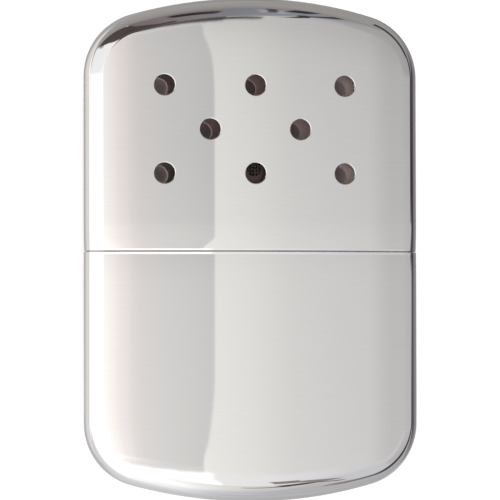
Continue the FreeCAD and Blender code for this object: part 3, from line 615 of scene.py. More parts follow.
def edgeDistance(shell, x, y):
    # how far in from the outline a point of the plan is, and the direction out: the least of the
    # distances to the side and to the arch's circle, or to the corner's circle within its sector
    side, x = np.sign(x), np.abs(x)
    fromArch = np.hypot(x, y - shell.archY)
    toArch = case["archRadius"] - fromArch
    nearArch = (toArch < shell.halfWidth - x) & (y > shell.archY)
    distance = np.where(nearArch, toArch, shell.halfWidth - x)
    outX, outY = np.where(nearArch, x / fromArch, 1.0), np.where(nearArch, (y - shell.archY) / fromArch, 0.0)
    dx, dy = x - shell.cornerX, y - shell.cornerY
    fromCorner = np.maximum(np.hypot(dx, dy), 1e-9)
    inCorner = (dx > 0) & (dy > 0) & (np.arctan2(dy, dx) < shell.cornerTurn)
    distance = np.where(inCorner, case["cornerRadius"] - fromCorner, distance)
    outX, outY = np.where(inCorner, dx / fromCorner, outX), np.where(inCorner, dy / fromCorner, outY)
    return distance, outX * side, outY


def soften(shell, points, normals):
    # lowers both faces toward the outline by a cube law, and tilts their normals to match
    distance, outX, outY = edgeDistance(shell, points[..., 0], points[..., 1])
    left = np.clip(1 - distance / case["softenedOver"], 0, None)
    slope = 3 * case["softening"] / case["softenedOver"] * left ** 2
    lowered, tilted = points.copy(), normals.copy()
    lowered[..., 2] -= np.sign(points[..., 2]) * case["softening"] * left ** 3
    tilted[..., 0] += np.abs(normals[..., 2]) * slope * outX
    tilted[..., 1] += np.abs(normals[..., 2]) * slope * outY
    return lowered, unit(tilted)


def crownFace(shell, x, y, up=1):
    # a face's point over x and y: its height follows the crown's circle. up is -1 on the back
    radius = case["crownRadius"]
    z = shell.axis + np.sqrt(radius ** 2 - x ** 2)
    points = np.stack([x, y, up * z], -1)
    normals = np.stack([x / radius, np.zeros_like(x), up * (z - shell.axis) / radius], -1)
    return soften(shell, points, normals)


def rollRim(shell, x, y, outX, outY, steps=16):
    # the rounding that a ball leaves as it rolls along the outline, inside the case: its normal turns evenly
    # from the crown's to the side's. Rows run from the front face over the rim to the back face
    ball, crown = case["edgeRadius"], case["crownRadius"]
    centreX, centreY = x - ball * outX, y - ball * outY
    centreZ = shell.axis + np.sqrt((crown - ball) ** 2 - centreX ** 2)
    level = np.stack([outX, outY, np.zeros_like(outX)], -1)
    upper = np.stack([centreX, np.zeros_like(outX), centreZ - shell.axis], -1) / (crown - ball)
    sweep = np.arccos(np.einsum("ij,ij->i", level, upper))[None, :, None]
    share = np.linspace(1, 0, steps + 1)[:, None, None]
    front = (np.sin((1 - share) * sweep) * level + np.sin(share * sweep) * upper) / np.sin(sweep)
    points = np.stack([centreX, centreY, centreZ], -1) + ball * front
    back = np.array([1, 1, -1])
    points, normals = np.concatenate([points, points[::-1] * back]), np.concatenate([front, front[::-1] * back])
    return soften(shell, points, normals)


def mouthSection(shell, count=61):
    # the closed curve round the case where its sides are straight: the front, a rim, the back, the other rim
    one, zero = np.ones(1), np.zeros(1)
    rimPoints, rimNormals = rollRim(shell, shell.halfWidth * one, zero, one, zero)
    across = np.linspace(-rimPoints[0, 0, 0], rimPoints[0, 0, 0], count)
    points, normals = crownFace(shell, across, np.zeros_like(across))
    over = np.array([-1, 1, -1])
    return (across, np.vstack([points, rimPoints[1:-1, 0], points * over, rimPoints[1:-1, 0] * over]),
            np.vstack([normals, rimNormals[1:-1, 0], normals * over, rimNormals[1:-1, 0] * over]))


def lipProfile(lip, crease=0.03):
    # down the outside to the mouth, over two roundings and up the inside. Each row is a height above the
    # mouth, a depth below the case's surface, the normal's share outward and its share along Y, and 1 inside
    bend = np.linspace(0, np.pi / 2, 9)[1:]
    top, flareRun, inner = lip["lipHeight"], lip["flareRun"], case["innerLip"]
    folds = [flareRun + crease, flareRun - crease]  # the flare starts between these two heights
    height = np.concatenate([np.linspace(lip["run"], 1.0, 12), folds, np.linspace(top + 0.2, top, 4)])
    left = 1 - height / lip["run"]
    flared = np.clip(flareRun - height, 0, None)
    curl = lip["turn"] * lip["run"] / 2 * left ** 2 - lip["flare"] * flared  # in by a square law, then straight out
    slope = lip["turn"] * left - lip["flare"] * (height < flareRun)
    sheet, flat = case["sheet"], np.zeros(7)
    outside = np.stack([height, curl, np.ones_like(height), -slope, 0 * height], -1)
    outer = np.stack([top * (1 - np.sin(bend)), curl[-1] + lip["lipDepth"] * (1 - np.cos(bend)),
                      np.cos(bend) / lip["lipDepth"], -np.sin(bend) / top, 0 * bend], -1)
    within = np.stack([inner * (1 - np.cos(bend)), sheet - inner * (1 - np.sin(bend)), -np.sin(bend),
                       -np.cos(bend), 0 * bend + 1], -1)
    inside = np.stack([np.linspace(inner, lip["run"], 8)[1:], flat + sheet, flat - 1, flat, flat + 1], -1)
    return np.vstack([outside, outer, within, inside])


def ventCentres(shell):
    return [(column * vents["columnPitch"], shell.mouth + vents["firstRow"] + row * vents["rowPitch"])
            for row, columns in enumerate(vents["rows"]) for column in columns]


def cutPlan(outline, holes, inner=np.empty((0, 2))):
    # the plan inside an outline as triangles, through any inner points, that leave the round holes open
    plan = np.vstack([outline, *holes, inner])
    links, start = [], 0
    for ring in [outline, *holes]:
        index = np.arange(start, start + len(ring))
        links += np.stack([index, np.roll(index, -1)], -1).tolist()
        start += len(ring)
    made = delaunay_2d_cdt(plan.tolist(), links, [], 1, 1e-6)
    triangles = np.array([found[0] for found in made[3]])[np.array(made[2])]
    for ring in holes:  # a triangle whose middle is on one side of all of a ring's edges is inside it
        edges = np.roll(ring, -1, 0) - ring
        away = plan[triangles].mean(1)[:, None] - ring
        side = edges[:, 0] * away[..., 1] - edges[:, 1] * away[..., 0]
        triangles = triangles[~((side > 0).all(1) | (side < 0).all(1))]
    return plan, triangles


def faceTriangles(shell, edge, holes, pitch=1.0, edgeGap=0.5, holeGap=0.4):
    # the plan of a face, on a square grid of points that keeps these gaps from its edge and its holes
    wide = vents["radius"] + vents["lip"]
    turn = np.linspace(0, 2 * np.pi, vents["around"], endpoint=False)
    rings = [np.stack([x + wide * np.cos(turn), y + wide * np.sin(turn)], -1) for x, y in holes]
    inner = np.stack(np.meshgrid(np.arange(-shell.halfWidth, shell.halfWidth, pitch),
                                 np.arange(shell.mouth, shell.end, pitch)), -1).reshape(-1, 2)
    distance, _, _ = edgeDistance(shell, inner[:, 0], inner[:, 1])
    keep = (distance > case["edgeRadius"] + edgeGap) & (inner[:, 1] > shell.mouth + shell.lip["run"] + edgeGap)
    for centre in holes:
        keep &= np.linalg.norm(inner - centre, axis=1) > wide + holeGap
    return cutPlan(edge, rings, inner[keep])


def punchedEdge(lip, sheet):
    # a punched edge turns over a rounding, down a wall and over another rounding to the far side. Each row is
    # a distance back from the hole, a depth, and the normal's shares out of the sheet and into the hole
    bend = np.linspace(0, np.pi / 2, 7)
    back, deep = lip * (1 - np.sin(bend)), lip * (1 - np.cos(bend))
    rows = [np.append(back, back[::-1]), np.append(deep, sheet - deep[::-1]),
            np.append(np.cos(bend), -np.cos(bend[::-1])), np.append(np.sin(bend), np.sin(bend[::-1]))]
    return [row[:, None, None] for row in rows]


def ventLip(shell, x, y, up):
    back, deep, rise, inward = punchedEdge(vents["lip"], case["sheet"])
    turn = np.linspace(0, 2 * np.pi, vents["around"], endpoint=False)
    circle = np.stack([np.cos(turn), np.sin(turn), np.zeros_like(turn)], -1)
    ring = (vents["radius"] + back) * circle
    surface, normal = crownFace(shell, x + ring[..., 0], y + ring[..., 1], up)
    return surface - deep * normal, rise * normal - inward * circle, gridFaces(len(back), len(turn), closed=True)


def drawShell(name, shell, holes):
    # the faces and the rim, the same again moved in by the sheet, and the edges that join the two
    rimPoints, rimNormals = rollRim(shell, *caseOutline(shell))
    across, ringPoints, ringNormals = mouthSection(shell)
    foot = np.stack([across[1:-1], np.full(len(across) - 2, shell.mouth + shell.lip["run"])], -1)
    plan, triangles = faceTriangles(shell, np.vstack([rimPoints[0][:, :2], foot]), holes)
    walls = [(rimPoints, rimNormals, gridFaces(*rimPoints.shape[:2]))]
    walls += [(*crownFace(shell, plan[:, 0], plan[:, 1], up), triangles) for up in (1, -1)]
    skin = []
    for points, normals, faces in walls:
        addPatch(skin, points, normals, faces, 0)
        addPatch(skin, points - case["sheet"] * normals, -normals, faces, 1)

    height, depth, out, along, inside = lipProfile(shell.lip).T
    points = ringPoints - depth[:, None, None] * ringNormals
    normals = out[:, None, None] * ringNormals
    points[..., 1], normals[..., 1] = shell.mouth + height[:, None], along[:, None]
    faces = gridFaces(len(height), len(ringPoints), closed=True)
    within = np.repeat(inside[1:], len(ringPoints))
    for finish in (0, 1):
        addPatch(skin, points, normals, faces[within == finish], finish)
    for x, y in holes:
        for up in (1, -1):
            points, normals, faces = ventLip(shell, x, y, up)
            outer = len(faces) // 2  # the plate is bright on the outer rounding, and thin on the wall and inside
            addPatch(skin, points, normals, faces[:outer], 0)
            addPatch(skin, points, normals, faces[outer:], 1)

    turn, lift = np.array([1, shell.turned, 1]), np.array([0, 0, shell.middle])
    skin = [(points * turn + lift, normals * turn, faces[:, ::shell.turned], finish)
            for points, normals, faces, finish in skin]
    return weldSkin(name, skin, [chromePlate, shellInside])


capShell, tankShell = measureShell("cap_shell", mouths["cap"]), measureShell("tank_shell", mouths["tank"])
cap, tank = drawShell("cap", capShell, ventCentres(capShell)), drawShell("tank", tankShell, [])
handOver(cap, "cap", "cap_shell")
handOver(tank, "tank", "tank_shell")
print("cap and tank drawn:", len(cap.data.polygons), len(tank.data.polygons), "faces")


# metals and fibres inside the case

inner = dict(
    nickel="#BDB6AA",
    nickelCloud=5.0,  # millimetres from cloud to cloud
    nickelRoughness=(0.21, 0.34),  # in its clearest and in its cloudiest places
    nickelLines=4.0,  # how long its drawing lines are
    steel="#A79F96",  # where the burner stays cool
    straw="#8B775F",  # and the colours that heat leaves nearer to the mat
    brown="#5E4C48",
    blue="#474650",
    coolBelow=8.0,  # millimetres along the case
    hotFrom=21.0,
    heatSway=3.5,  # how far clouds move the colours' edges
    steelCloud=3.0,
    steelRoughness=(0.28, 0.46),
    steelLines=2.0,
    cloudy=(0.3, 0.7),  # a cloud's value where the metal is clearest, and where it is cloudiest
    linePitch=0.12,  # drawing lines in the sheet, coarser than real so that they show
    lineHeight=0.004,
    wire="#54484A",
    wireLevels=(0.8, 1.2),
    wireCloud=1.2,
    wireRoughness=0.62,
)


def drawnSheet(tree, place, cloud, tone, roughness, length):
    # the surface of drawn sheet that isn't polished: its roughness follows the clouds, and its bump is fine
    # lines that the drawing tool left along the case, a noise stretched along Y
    pitch = inner["linePitch"] * mm
    drawn = addNode(tree, "Mapping", {"Vector": place, "Scale": (1 / pitch, 1 / (length * mm), 1 / pitch)})
    lines = addNode(tree, "TexNoise", {"Vector": drawn, "Scale": 1.0, "Detail": 3.0})
    bump = addNode(tree, "Bump", {"Height": lines, "Distance": inner["lineHeight"] * mm, "Strength": 1.0})
    rough = addNode(tree, "MapRange", {
        "Value": cloud, "From Min": inner["cloudy"][0], "From Max": inner["cloudy"][1],
        "To Min": roughness[0], "To Max": roughness[1]})
    metal = addNode(tree, "BsdfPrincipled", {"Base Color": tone, "Metallic": 1.0, "Roughness": rough,
                                             "Normal": bump})
    addNode(tree, "OutputMaterial", {"Surface": metal})


def satinNickel():
    # nickel plate over drawn brass, not polished: warm grey, with a soft sheen and faint drawing lines
    material, tree = newMaterial("satin nickel plate")
    place = addNode(tree, "TexCoord", out="Object")
    cloud = addNode(tree, "TexNoise", {"Vector": place, "Scale": 1 / (inner["nickelCloud"] * mm), "Detail": 4.0})
    tone = addNode(tree, "ValToRGB", {"Fac": cloud},
                   stops=((0.35, linear(inner["nickel"])), (0.75, linear(inner["nickel"], 0.86))))
    drawnSheet(tree, place, cloud, tone, inner["nickelRoughness"], inner["nickelLines"])
    return material


def tintedSteel():
    # stamped stainless steel that has been hot: straw, brown and blue bands toward the mat, cloudy at their
    # edges
    material, tree = newMaterial("stamped steel, heat tinted")
    place = addNode(tree, "TexCoord", out="Object")
    cloud = addNode(tree, "TexNoise", {"Vector": place, "Scale": 1 / (inner["steelCloud"] * mm), "Detail": 5.0})
    sway = addNode(tree, "MapRange", {"Value": cloud, "To Min": -inner["heatSway"] * mm,
                                      "To Max": inner["heatSway"] * mm})
    along = addNode(tree, "SeparateXYZ", {0: place}, "Y")
    along = addNode(tree, "Math", {0: along, 1: sway}, operation="ADD")
    heat = addNode(tree, "MapRange", {"Value": along, "From Min": inner["coolBelow"] * mm,
                                      "From Max": inner["hotFrom"] * mm})
    bands = ((0.0, "steel"), (0.2, "straw"), (0.45, "brown"), (0.8, "brown"), (1.0, "blue"))
    tone = addNode(tree, "ValToRGB", {"Fac": heat}, stops=[(at, linear(inner[name])) for at, name in bands])
    drawnSheet(tree, place, cloud, tone, inner["steelRoughness"], inner["steelLines"])
    return material


def wovenWire():
    # drawn wire, dulled by heat and by the platinum that is deposited on it
    material, tree = newMaterial("woven wire, oxidised")
    place = addNode(tree, "TexCoord", out="Object")
    cloud = addNode(tree, "TexNoise", {"Vector": place, "Scale": 1 / (inner["wireCloud"] * mm), "Detail": 3.0})
    tone = addNode(tree, "ValToRGB", {"Fac": cloud}, stops=[
        (at, linear(inner["wire"], level)) for at, level in zip(inner["cloudy"], inner["wireLevels"])])
    metal = addNode(tree, "BsdfPrincipled", {"Base Color": tone, "Metallic": 1.0,
                                             "Roughness": inner["wireRoughness"]})
    addNode(tree, "OutputMaterial", {"Surface": metal})
    return material


def fibreStuff(name, colour, shade, fibre, sheen, stretch=0.12, turns=((0.3, 0.2, 0.5), (1.2, -0.4, 1.9))):
    # fibres lying every way: two noises, each stretched along another direction, give bump and tone
    material, tree = newMaterial(name)
    place = addNode(tree, "TexCoord", out="Object")
    scale = (1 / (fibre * mm), stretch / (fibre * mm), 1 / (fibre * mm))
    height = None
    for turn in turns:
        laid = addNode(tree, "Mapping", {"Vector": place, "Rotation": turn, "Scale": scale})
        strands = addNode(tree, "TexNoise", {"Vector": laid, "Scale": 1.0, "Detail": 4.0})
        if height:
            strands = addNode(tree, "Math", {0: height, 1: strands}, operation="ADD")
        height = strands
    tone = addNode(tree, "MapRange", {"Value": height, "From Min": 0.6, "From Max": 1.4})
    tone = addNode(tree, "ValToRGB", {"Fac": tone}, stops=((0.1, linear(shade)), (0.8, linear(colour))))
    bump = addNode(tree, "Bump", {"Height": height, "Distance": fibre * mm, "Strength": 0.8})
    stuff = addNode(tree, "BsdfPrincipled", {"Base Color": tone, "Roughness": 0.95, "Sheen Weight": sheen,
                                             "Sheen Roughness": 0.5, "Normal": bump})
    addNode(tree, "OutputMaterial", {"Surface": stuff})
    return material


nickelPlate, burntSteel, gauzeWire = satinNickel(), tintedSteel(), wovenWire()


# sheet metal on an oval plan: the filler neck and the burner

burner = dict(
    gauge=0.35,
    overhang=0.8,  # the flange and the bead stand out this far from the skirt
    footFlare=0.45,
    footHeight=0.4,
    cageStep=0.65,  # from the skirt's wall in to the cage's
    beadHeight=0.9,
    beadRounding=0.3,
    topRounding=1.3,
    windowPitch=3.9,
    windowWidth=2.7,
    windowCount=5,
    windowMargin=1.5,  # from the bead to the windows, and from them to the top
    slotMargin=4.8,  # from an end of the cage to the slot in its top
    slotWidth=2.6,
    lip=0.09,  # rounding of a punched edge
    edge=0.12,  # roundings of the skirt: its free edges, its foot's two bends, and under its flange
    footBend=0.17,
    footFillet=0.25,
    flangeFillet=0.3,
    cageEdge=0.1,  # and of the cage: its lower inner edge, and where its wall leaves the bead
    beadFillet=0.2,
    rowMargin=0.35,  # the flat stretch of wall starts this far above the bead
    browMargin=0.04,  # and ends this far below the top's rounding
    topMargin=0.05,  # the top's flat part starts this far in from its rounding
    flank=24,  # points along a flank and round an end
    bend=20,
)
neck = dict(gauge=0.4, flange=0.57, lip=0.19, fillet=0.25, edge=0.12)


def ovalRing(halfFlat, flank=6, bend=20):
    # a straight flank, a half turn round one end, and the same again turned over. Gives each point's place on
    # the line down the middle of the oval, and its direction out of that line
    across, turn = np.linspace(halfFlat, -halfFlat, flank + 1), np.linspace(0, np.pi, bend + 1)[1:-1]
    middle = np.append(across, np.full_like(turn, -halfFlat))
    out = np.stack([np.append(0 * across, -np.sin(turn)), np.append(0 * across + 1, np.cos(turn))], -1)
    return np.append(middle, -middle), np.vstack([out, -out])


def ovalHole(length, width, at, upright=False):  # an oval's edge and its directions out, about the point at
    middle, out = ovalRing((length - width) / 2, 6, 14)
    edge = np.stack([middle, 0 * middle], -1) + width / 2 * out
    return (edge[:, ::-1] + at, out[:, ::-1]) if upright else (edge + at, out)


def roundProfile(corners, closed=True, steps=6):
    # straight runs whose corners, each (radius from the middle line, y, rounding), are arcs: the normal turns
    # evenly from one run's right side to the next one's
    places, rounding = np.array(corners, float)[:, :2], np.array(corners, float)[:, 2]
    before, after = unit(places - np.roll(places, 1, 0)), unit(np.roll(places, -1, 0) - places)
    turn = np.arctan2(before[:, 0] * after[:, 1] - before[:, 1] * after[:, 0], (before * after).sum(1))
    right = before[:, ::-1] * (1, -1)
    signed = (rounding * np.sign(turn))[:, None]
    centre = places - before * (rounding * np.tan(np.abs(turn) / 2))[:, None] - signed * right
    angle = np.arctan2(right[:, 1], right[:, 0])[:, None] + turn[:, None] * np.linspace(0, 1, steps + 1)
    normals = np.stack([np.cos(angle), np.sin(angle)], -1)
    points = centre[:, None] + signed[:, None] * normals
    if closed:
        points, normals = points.reshape(-1, 2), normals.reshape(-1, 2)
        return np.vstack([points, points[:1]]), np.vstack([normals, normals[:1]])
    first, last = after[:1, ::-1] * (1, -1), right[-1:]
    return (np.vstack([places[:1], points[1:-1].reshape(-1, 2), places[-1:]]),
            np.vstack([first, normals[1:-1].reshape(-1, 2), last]))


def addSweep(skin, profile, ring, lift, columns=None):
    # a profile carried round an oval at height lift, or over some of its columns only
    points, normals = (part[:, None] for part in profile)
    middle, out = ring if columns is None else (ring[0][columns], ring[1][columns])
    spots = np.stack([middle + points[..., 0] * out[:, 0], points[..., 1] + 0 * middle,
                      lift + points[..., 0] * out[:, 1]], -1)
    ways = np.stack([normals[..., 0] * out[:, 0], normals[..., 1] + 0 * middle,
                     normals[..., 0] * out[:, 1]], -1)
    addPatch(skin, spots, ways, gridFaces(*spots.shape[:2], closed=columns is None))


def addPlate(skin, outline, holes, gauge, corner, across, along):
    # a flat sheet with punched holes, drawn in the plane that across and along span from a corner; it faces
    # the way that across turns to along
    across, along = np.array(across, float), np.array(along, float)
    out = np.cross(across, along)
    back, deep, rise, inward = punchedEdge(burner["lip"], gauge)
    plan, triangles = cutPlan(outline, [edge + burner["lip"] * away for edge, away in holes])
    for depth, facing in ((0, out), (gauge, -out)):
        points = corner + plan[:, :1] * across + plan[:, 1:] * along - depth * out
        addPatch(skin, points, np.broadcast_to(facing, points.shape), triangles)
    for edge, away in holes:
        spots, ways = edge + back * away, away[:, :1] * across + away[:, 1:] * along
        points = corner + spots[..., :1] * across + spots[..., 1:] * along - deep * out
        addPatch(skin, points, rise * out - inward * ways, gridFaces(len(back), len(edge), closed=True))


def measureOval(node):  # its lift, its half flat, its outer radius, its foot and its top
    low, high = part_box(node)
    radius = (high.z - low.z) / 2 / mm
    return (low.z + high.z) / 2 / mm, round(high.x / mm - radius, 1), radius, low.y / mm, high.y / mm


def drawNeck():
    lift, halfFlat, flange, foot, top = measureOval("filler_neck")
    wall, edge = flange - neck["flange"], neck["edge"]
    inside, shoulder = wall - neck["gauge"], foot + neck["gauge"]
    skin = []
    addSweep(skin, roundProfile([
        (inside, top, neck["lip"]), (inside, foot, edge), (flange, foot, edge), (flange, shoulder, edge),
        (wall, shoulder, neck["fillet"]), (wall, top, neck["lip"])]), ovalRing(halfFlat), lift)
    return weldSkin("neck", skin, [nickelPlate])


def drawSkirt():
    # a tube with a turned-out foot, and a flange that the cage is rolled over
    lift, halfFlat, flange, foot, top = measureOval("burner_skirt")
    wall, edge = flange - burner["overhang"], burner["edge"]
    inside, flared = wall - burner["gauge"], wall + burner["footFlare"]
    step, under = foot + burner["footHeight"], top - burner["gauge"]
    skin = []
    addSweep(skin, roundProfile([
        (inside, top, edge), (inside, foot, edge), (flared, foot, edge), (flared, step, burner["footBend"]),
        (wall, step, burner["footFillet"]), (wall, under, burner["flangeFillet"]), (flange, under, edge),
        (flange, top, edge)]), ovalRing(halfFlat), lift)
    return weldSkin("skirt", skin, [burntSteel])


def drawCage():
    # a bead, walls whose flanks have windows, a rounded edge and a top with a slot, all of one sheet
    lift, halfFlat, flange, foot, top = measureOval("burner_cage")
    gauge, rounding = burner["gauge"], burner["topRounding"]
    wall = flange - burner["overhang"] - burner["cageStep"]
    inside, brow = wall - gauge, wall - rounding - burner["topMargin"]
    bead, roll = foot + burner["beadHeight"], burner["beadRounding"]
    low, high = bead + burner["rowMargin"], top - rounding - burner["browMargin"]
    flank, bend = burner["flank"], burner["bend"]
    ring = ovalRing(halfFlat, flank, bend)
    skin = []
    for corners in (
            [(inside, low, 0), (inside, foot, burner["cageEdge"]), (flange, foot, roll), (flange, bead, roll),
             (wall, bead, burner["beadFillet"]), (wall, low, 0)],
            [(wall, high, 0), (wall, top, rounding), (brow, top, 0)],
            [(brow, top - gauge, 0), (inside, top - gauge, rounding - gauge), (inside, high, 0)]):
        addSweep(skin, roundProfile(corners, closed=False), ring, lift)

    levels = np.linspace(low, high, 7)
    ends = np.arange(flank, flank + bend + 1)
    half = flank + bend
    for columns in (ends, (ends + half) % (2 * half)):
        for radius, facing in ((wall, 1.0), (inside, -1.0)):
            upright = np.stack([np.full_like(levels, radius), levels], -1)
            addSweep(skin, (upright, np.tile([facing, 0.0], (len(levels), 1))), ring, lift, columns)
    across = ring[0][:flank + 1]
    outline = np.vstack([np.stack([across, np.full_like(across, low)], -1),
                         np.stack([np.full(5, -halfFlat), levels[1:-1]], -1),
                         np.stack([across[::-1], np.full_like(across, high)], -1),
                         np.stack([np.full(5, halfFlat), levels[-2:0:-1]], -1)])
    tall, wide = top - bead - 2 * burner["windowMargin"], burner["windowWidth"]
    places = (np.arange(burner["windowCount"]) - (burner["windowCount"] - 1) / 2) * burner["windowPitch"]
    windows = [ovalHole(tall, wide, (place, (bead + top) / 2), upright=True) for place in places]
    addPlate(skin, outline, windows, gauge, (0, 0, lift + wall), (1, 0, 0), (0, 1, 0))
    mirrored = [(edge * (-1, 1), away * (-1, 1)) for edge, away in windows]
    addPlate(skin, outline * (-1, 1), mirrored, gauge, (0, 0, lift - wall), (-1, 0, 0), (0, 1, 0))
    middle, out = ring
    slot = ovalHole(2 * (halfFlat + wall - burner["slotMargin"]), burner["slotWidth"], (0, 0))
    addPlate(skin, (np.stack([middle, 0 * middle], -1) + brow * out)[:, ::-1],
             [(slot[0][:, ::-1], slot[1][:, ::-1])], gauge, (0, top, lift), (0, 0, 1), (1, 0, 0))
    return weldSkin("cage", skin, [burntSteel])


handOver(drawNeck(), "tank", "filler_neck")
handOver(drawSkirt(), "burner", "burner_skirt")
handOver(drawCage(), "burner", "burner_cage")
for node, material in (("collar_deck", nickelPlate), ("support_grid", burntSteel)):
    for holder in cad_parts[node].material_slots:
        holder.material = material
print("neck and burner drawn")


# woven gauzes

gauze = dict(
    pitch=0.6,  # from wire to wire
    wire=0.15,  # a wire's thickness
    sides=6,
    steps=6,  # rings of points from one crossing to the next
)


def layTubes(paths, reference, radius, sides):
    # closed tubes along many paths at once: each ring of points turns about the path's own direction
    along = unit(np.gradient(paths, axis=1))
    side = unit(np.cross(along, reference))
    up = np.cross(side, along)
    turn = np.linspace(0, 2 * np.pi, sides, endpoint=False)[:, None]
    points = paths[:, :, None] + radius * (np.cos(turn) * side[:, :, None] + np.sin(turn) * up[:, :, None])
    count, steps = paths.shape[:2]
    starts = np.arange(count)[:, None] * steps * sides
    walls = gridFaces(steps, sides, closed=True)
    foot = np.arange(sides)
    caps = np.vstack([starts + foot, starts + (steps - 1) * sides + foot[::-1]])
    return points.reshape(-1, 3), [(starts[..., None] + walls).reshape(-1, 4), caps]


def weaveGauze(name, node):
    # plain weave: a wire's height is a cosine along it, one wave over two crossings, and its neighbour's is
    # the opposite. The wires that cross it have the opposite sign
    low, high = (np.array(corner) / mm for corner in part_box(node))
    radius, pitch = gauze["wire"] / 2, gauze["pitch"]
    size, lift = high - low, (low[2] + high[2]) / 2
    swing = size[2] / 2 - radius
    points, faces, start = [], [], 0
    for way, other, sign in ((0, 1, 1), (1, 0, -1)):
        count = int((size[other] - gauze["wire"]) / pitch) + 1
        crossings = int((size[way] - gauze["wire"]) / pitch)
        first = (low[way] + high[way] - crossings * pitch) / 2  # where the first wire crosses
        along = np.linspace(low[way], high[way], crossings * gauze["steps"] + 1)
        rank = np.arange(count)[:, None]
        beside = (low[other] + high[other]) / 2 + (rank - (count - 1) / 2) * pitch
        height = sign * swing * np.cos(np.pi * (along - first) / pitch + np.pi * rank)
        paths = np.empty((count, len(along), 3))
        paths[..., way], paths[..., other], paths[..., 2] = along, beside, lift + height
        spots, walls = layTubes(paths, (0, 0, 1), radius, gauze["sides"])
        points.append(spots)
        faces += [block + start for block in walls]
        start += len(spots)
    return newPiece(name, np.vstack(points), faces, [gauzeWire])


handOver(weaveGauze("frontGauze", "front_gauze"), "burner", "front_gauze")
handOver(weaveGauze("backGauze", "back_gauze"), "burner", "back_gauze")
print("gauzes woven")


# mat, felt and cotton

# fibre is how thick the material's fibres are drawn
soft = dict(
    cotton=dict(name="cotton wadding, carded", colour="#F4EFE6", shade="#CFC6B8", fibre=0.10, sheen=0.4),
    felt=dict(name="wool felt, pressed", colour="#A9A49B", shade="#6F6A63", fibre=0.08, sheen=0.3),
    mat=dict(name="glass fibre mat, platinum coated", colour="#8F8782", shade="#5C5350", fibre=0.09, sheen=0.1),
)
# a soft piece's skin: the size of its faces, how often it is relaxed, the size and depth of its lumps, loose
# fibres on it and how long, thick and high they lie, and how full it is
wadding = dict(body="tank", slot="cotton", stuff="cotton", voxel=0.6, relax=6, lump=5.5, depth=0.8, fibres=300,
               reach=6.0, thick=0.04, rise=0.2, fill=0.5)
wads = dict(
    catalystMat=dict(node="catalyst_mat", body="burner", slot="fibre_mat", stuff="mat", voxel=0.28, relax=3,
                     lump=2.2, depth=0.28, fibres=420, reach=3.0, thick=0.035, rise=0.10, fill=0.8, seed=11),
    neckTuft=dict(wadding, node="neck_tuft", voxel=0.28, relax=4, lump=2.6, depth=0.5, fibres=700, reach=4.0,
                  thick=0.03, rise=0.35, seed=12),
    feltPad=dict(node="felt_pad", body="tank", slot="felt", stuff="felt", voxel=0.45, relax=2,
                 lump=1.6, depth=0.14, fibres=300, reach=1.6, thick=0.03, rise=0.05, fill=0.9, seed=13),
    leftWadding=dict(wadding, node="left_wadding", seed=14),
    centreWadding=dict(wadding, node="centre_wadding", seed=15),
    rightWadding=dict(wadding, node="right_wadding", seed=16),
)


def evenSkin(node, voxel, relax):
    # the plain solid as an even skin of quads, then every point moved to the mean of its neighbours, over and
    # over, which rounds its edges off. The points come in millimetres
    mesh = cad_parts[node].data.copy()
    form = bmesh.new()
    form.from_mesh(mesh)
    bmesh.ops.remove_doubles(form, verts=form.verts, dist=1e-7)
    form.to_mesh(mesh)
    form.free()
    holder = bpy.data.objects.new(node + "Form", mesh)
    bpy.context.scene.collection.objects.link(holder)
    remesh = holder.modifiers.new("even", "REMESH")
    remesh.mode, remesh.voxel_size = "VOXEL", voxel * mm
    bpy.context.view_layer.update()
    made = bpy.data.meshes.new_from_object(holder.evaluated_get(bpy.context.evaluated_depsgraph_get()))
    bpy.data.objects.remove(holder)
    points, faces = np.empty(len(made.vertices) * 3), np.empty(len(made.loops), np.int32)
    edges = np.empty(len(made.edges) * 2, np.int32)
    made.vertices.foreach_get("co", points)
    made.loops.foreach_get("vertex_index", faces)
    made.edges.foreach_get("vertices", edges)
    points, faces, edges = points.reshape(-1, 3) / mm, faces.reshape(-1, 4), edges.reshape(-1, 2)
    share = np.bincount(edges.ravel(), minlength=len(points))[:, None]
    for _ in range(relax):
        total = np.zeros_like(points)
        np.add.at(total, edges[:, 0], points[edges[:, 1]])
        np.add.at(total, edges[:, 1], points[edges[:, 0]])
        points = total / share
    return points, faces


def skinNormals(points, faces):  # each face's normal is added to its corners
    corners = points[faces]
    facing = np.cross(corners[:, 2] - corners[:, 0], corners[:, 3] - corners[:, 1])
    normals = np.zeros_like(points)
    for corner in range(4):
        np.add.at(normals, faces[:, corner], facing)
    return unit(normals)


def lumps(points, length, draw, count=40):
    # a sum of waves of about one length that run every way, from about -2 to 2
    ways = unit(draw.normal(size=(count, 3))) * (2 * np.pi / length * draw.uniform(0.7, 1.5, (count, 1)))
    return np.sin(points @ ways.T + draw.uniform(0, 2 * np.pi, count)).sum(1) * np.sqrt(2 / count)


def outerFlats(points, normals, step=17, slack=0.1):
    # planes that the whole skin lies behind: each goes through a point of the skin, square to its normal, and
    # no other point is more than the slack in front of it. Gives their normals and their reach along them
    facing = normals[::step]
    reach = np.einsum("ij,ij->i", points[::step], facing)
    kept = (facing @ points.T).max(1) - reach < slack
    return facing[kept], reach[kept]


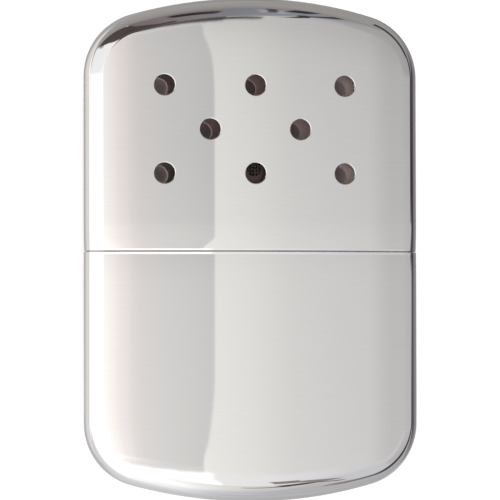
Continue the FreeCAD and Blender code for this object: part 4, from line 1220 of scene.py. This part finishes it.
def pressIn(paths, flats, inset, rounds=10):
    # a point is moved back behind the plane that it is furthest in front of, over and over
    facing, reach = flats
    for _ in range(rounds):
        ahead = paths @ facing.T - reach + inset
        paths = paths - np.clip(ahead.max(-1), 0, None)[..., None] * facing[ahead.argmax(-1)]
    return paths


def looseFibres(points, normals, flats, low, high, wad, draw):
    # arcs that start on the skin, run along it, rise in their middle by a sine and stay within the solid
    start = draw.integers(len(points), size=wad["fibres"])
    out = normals[start]
    first = unit(np.cross(out, draw.normal(size=out.shape)))
    second = np.cross(out, first)
    length = wad["reach"] * draw.uniform(0.5, 1.0, (len(out), 1))
    bow = wad["reach"] * draw.uniform(0.35, 1.6, (len(out), 1))
    run = np.linspace(0, 1, 11) * length
    paths = (points[start][:, None] + (bow * np.sin(run / bow))[..., None] * first[:, None]
             + (bow * (1 - np.cos(run / bow)))[..., None] * second[:, None]
             + (wad["rise"] * draw.uniform(0.3, 1.0, (len(out), 1)) * np.sin(np.pi * run / length))[..., None]
             * out[:, None])
    inset = wad["thick"]
    paths = np.clip(pressIn(paths, flats, inset), low + inset, high - inset)
    moved = np.linalg.norm(np.diff(paths, axis=1), axis=-1).min(1) > 0.01  # some are pressed flat at a wall
    return paths[moved], out[moved]


def makeWad(name, wad):
    draw = np.random.default_rng(wad["seed"])
    low, high = (np.array(corner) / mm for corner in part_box(wad["node"]))
    points, faces = evenSkin(wad["node"], wad["voxel"], wad["relax"])
    normals = skinNormals(points, faces)
    flats = outerFlats(points, normals)
    coarse, fine = lumps(points, wad["lump"], draw), lumps(points, wad["lump"] / 3.5, draw)
    points = points - normals * (wad["depth"] * np.clip(0.45 + 0.25 * coarse + 0.1 * fine, 0, 1))[:, None]
    paths, reference = looseFibres(points, skinNormals(points, faces), flats, low, high, wad, draw)
    strands, walls = layTubes(paths, reference[:, None], wad["thick"] / 2, 4)
    blocks = [faces] + [block + len(points) for block in walls]
    piece = newPiece(name, np.vstack([points, strands]), blocks, [stuffs[wad["stuff"]]])
    handOver(piece, wad["body"], wad["node"])
    print(name, "made:", len(piece.data.polygons), "faces")


stuffs = {key: fibreStuff(**stuff) for key, stuff in soft.items()}
for name, wad in wads.items():
    makeWad(name, wad)


# colours shown as written, with no film curve

bpy.context.scene.view_settings.view_transform = "Standard"
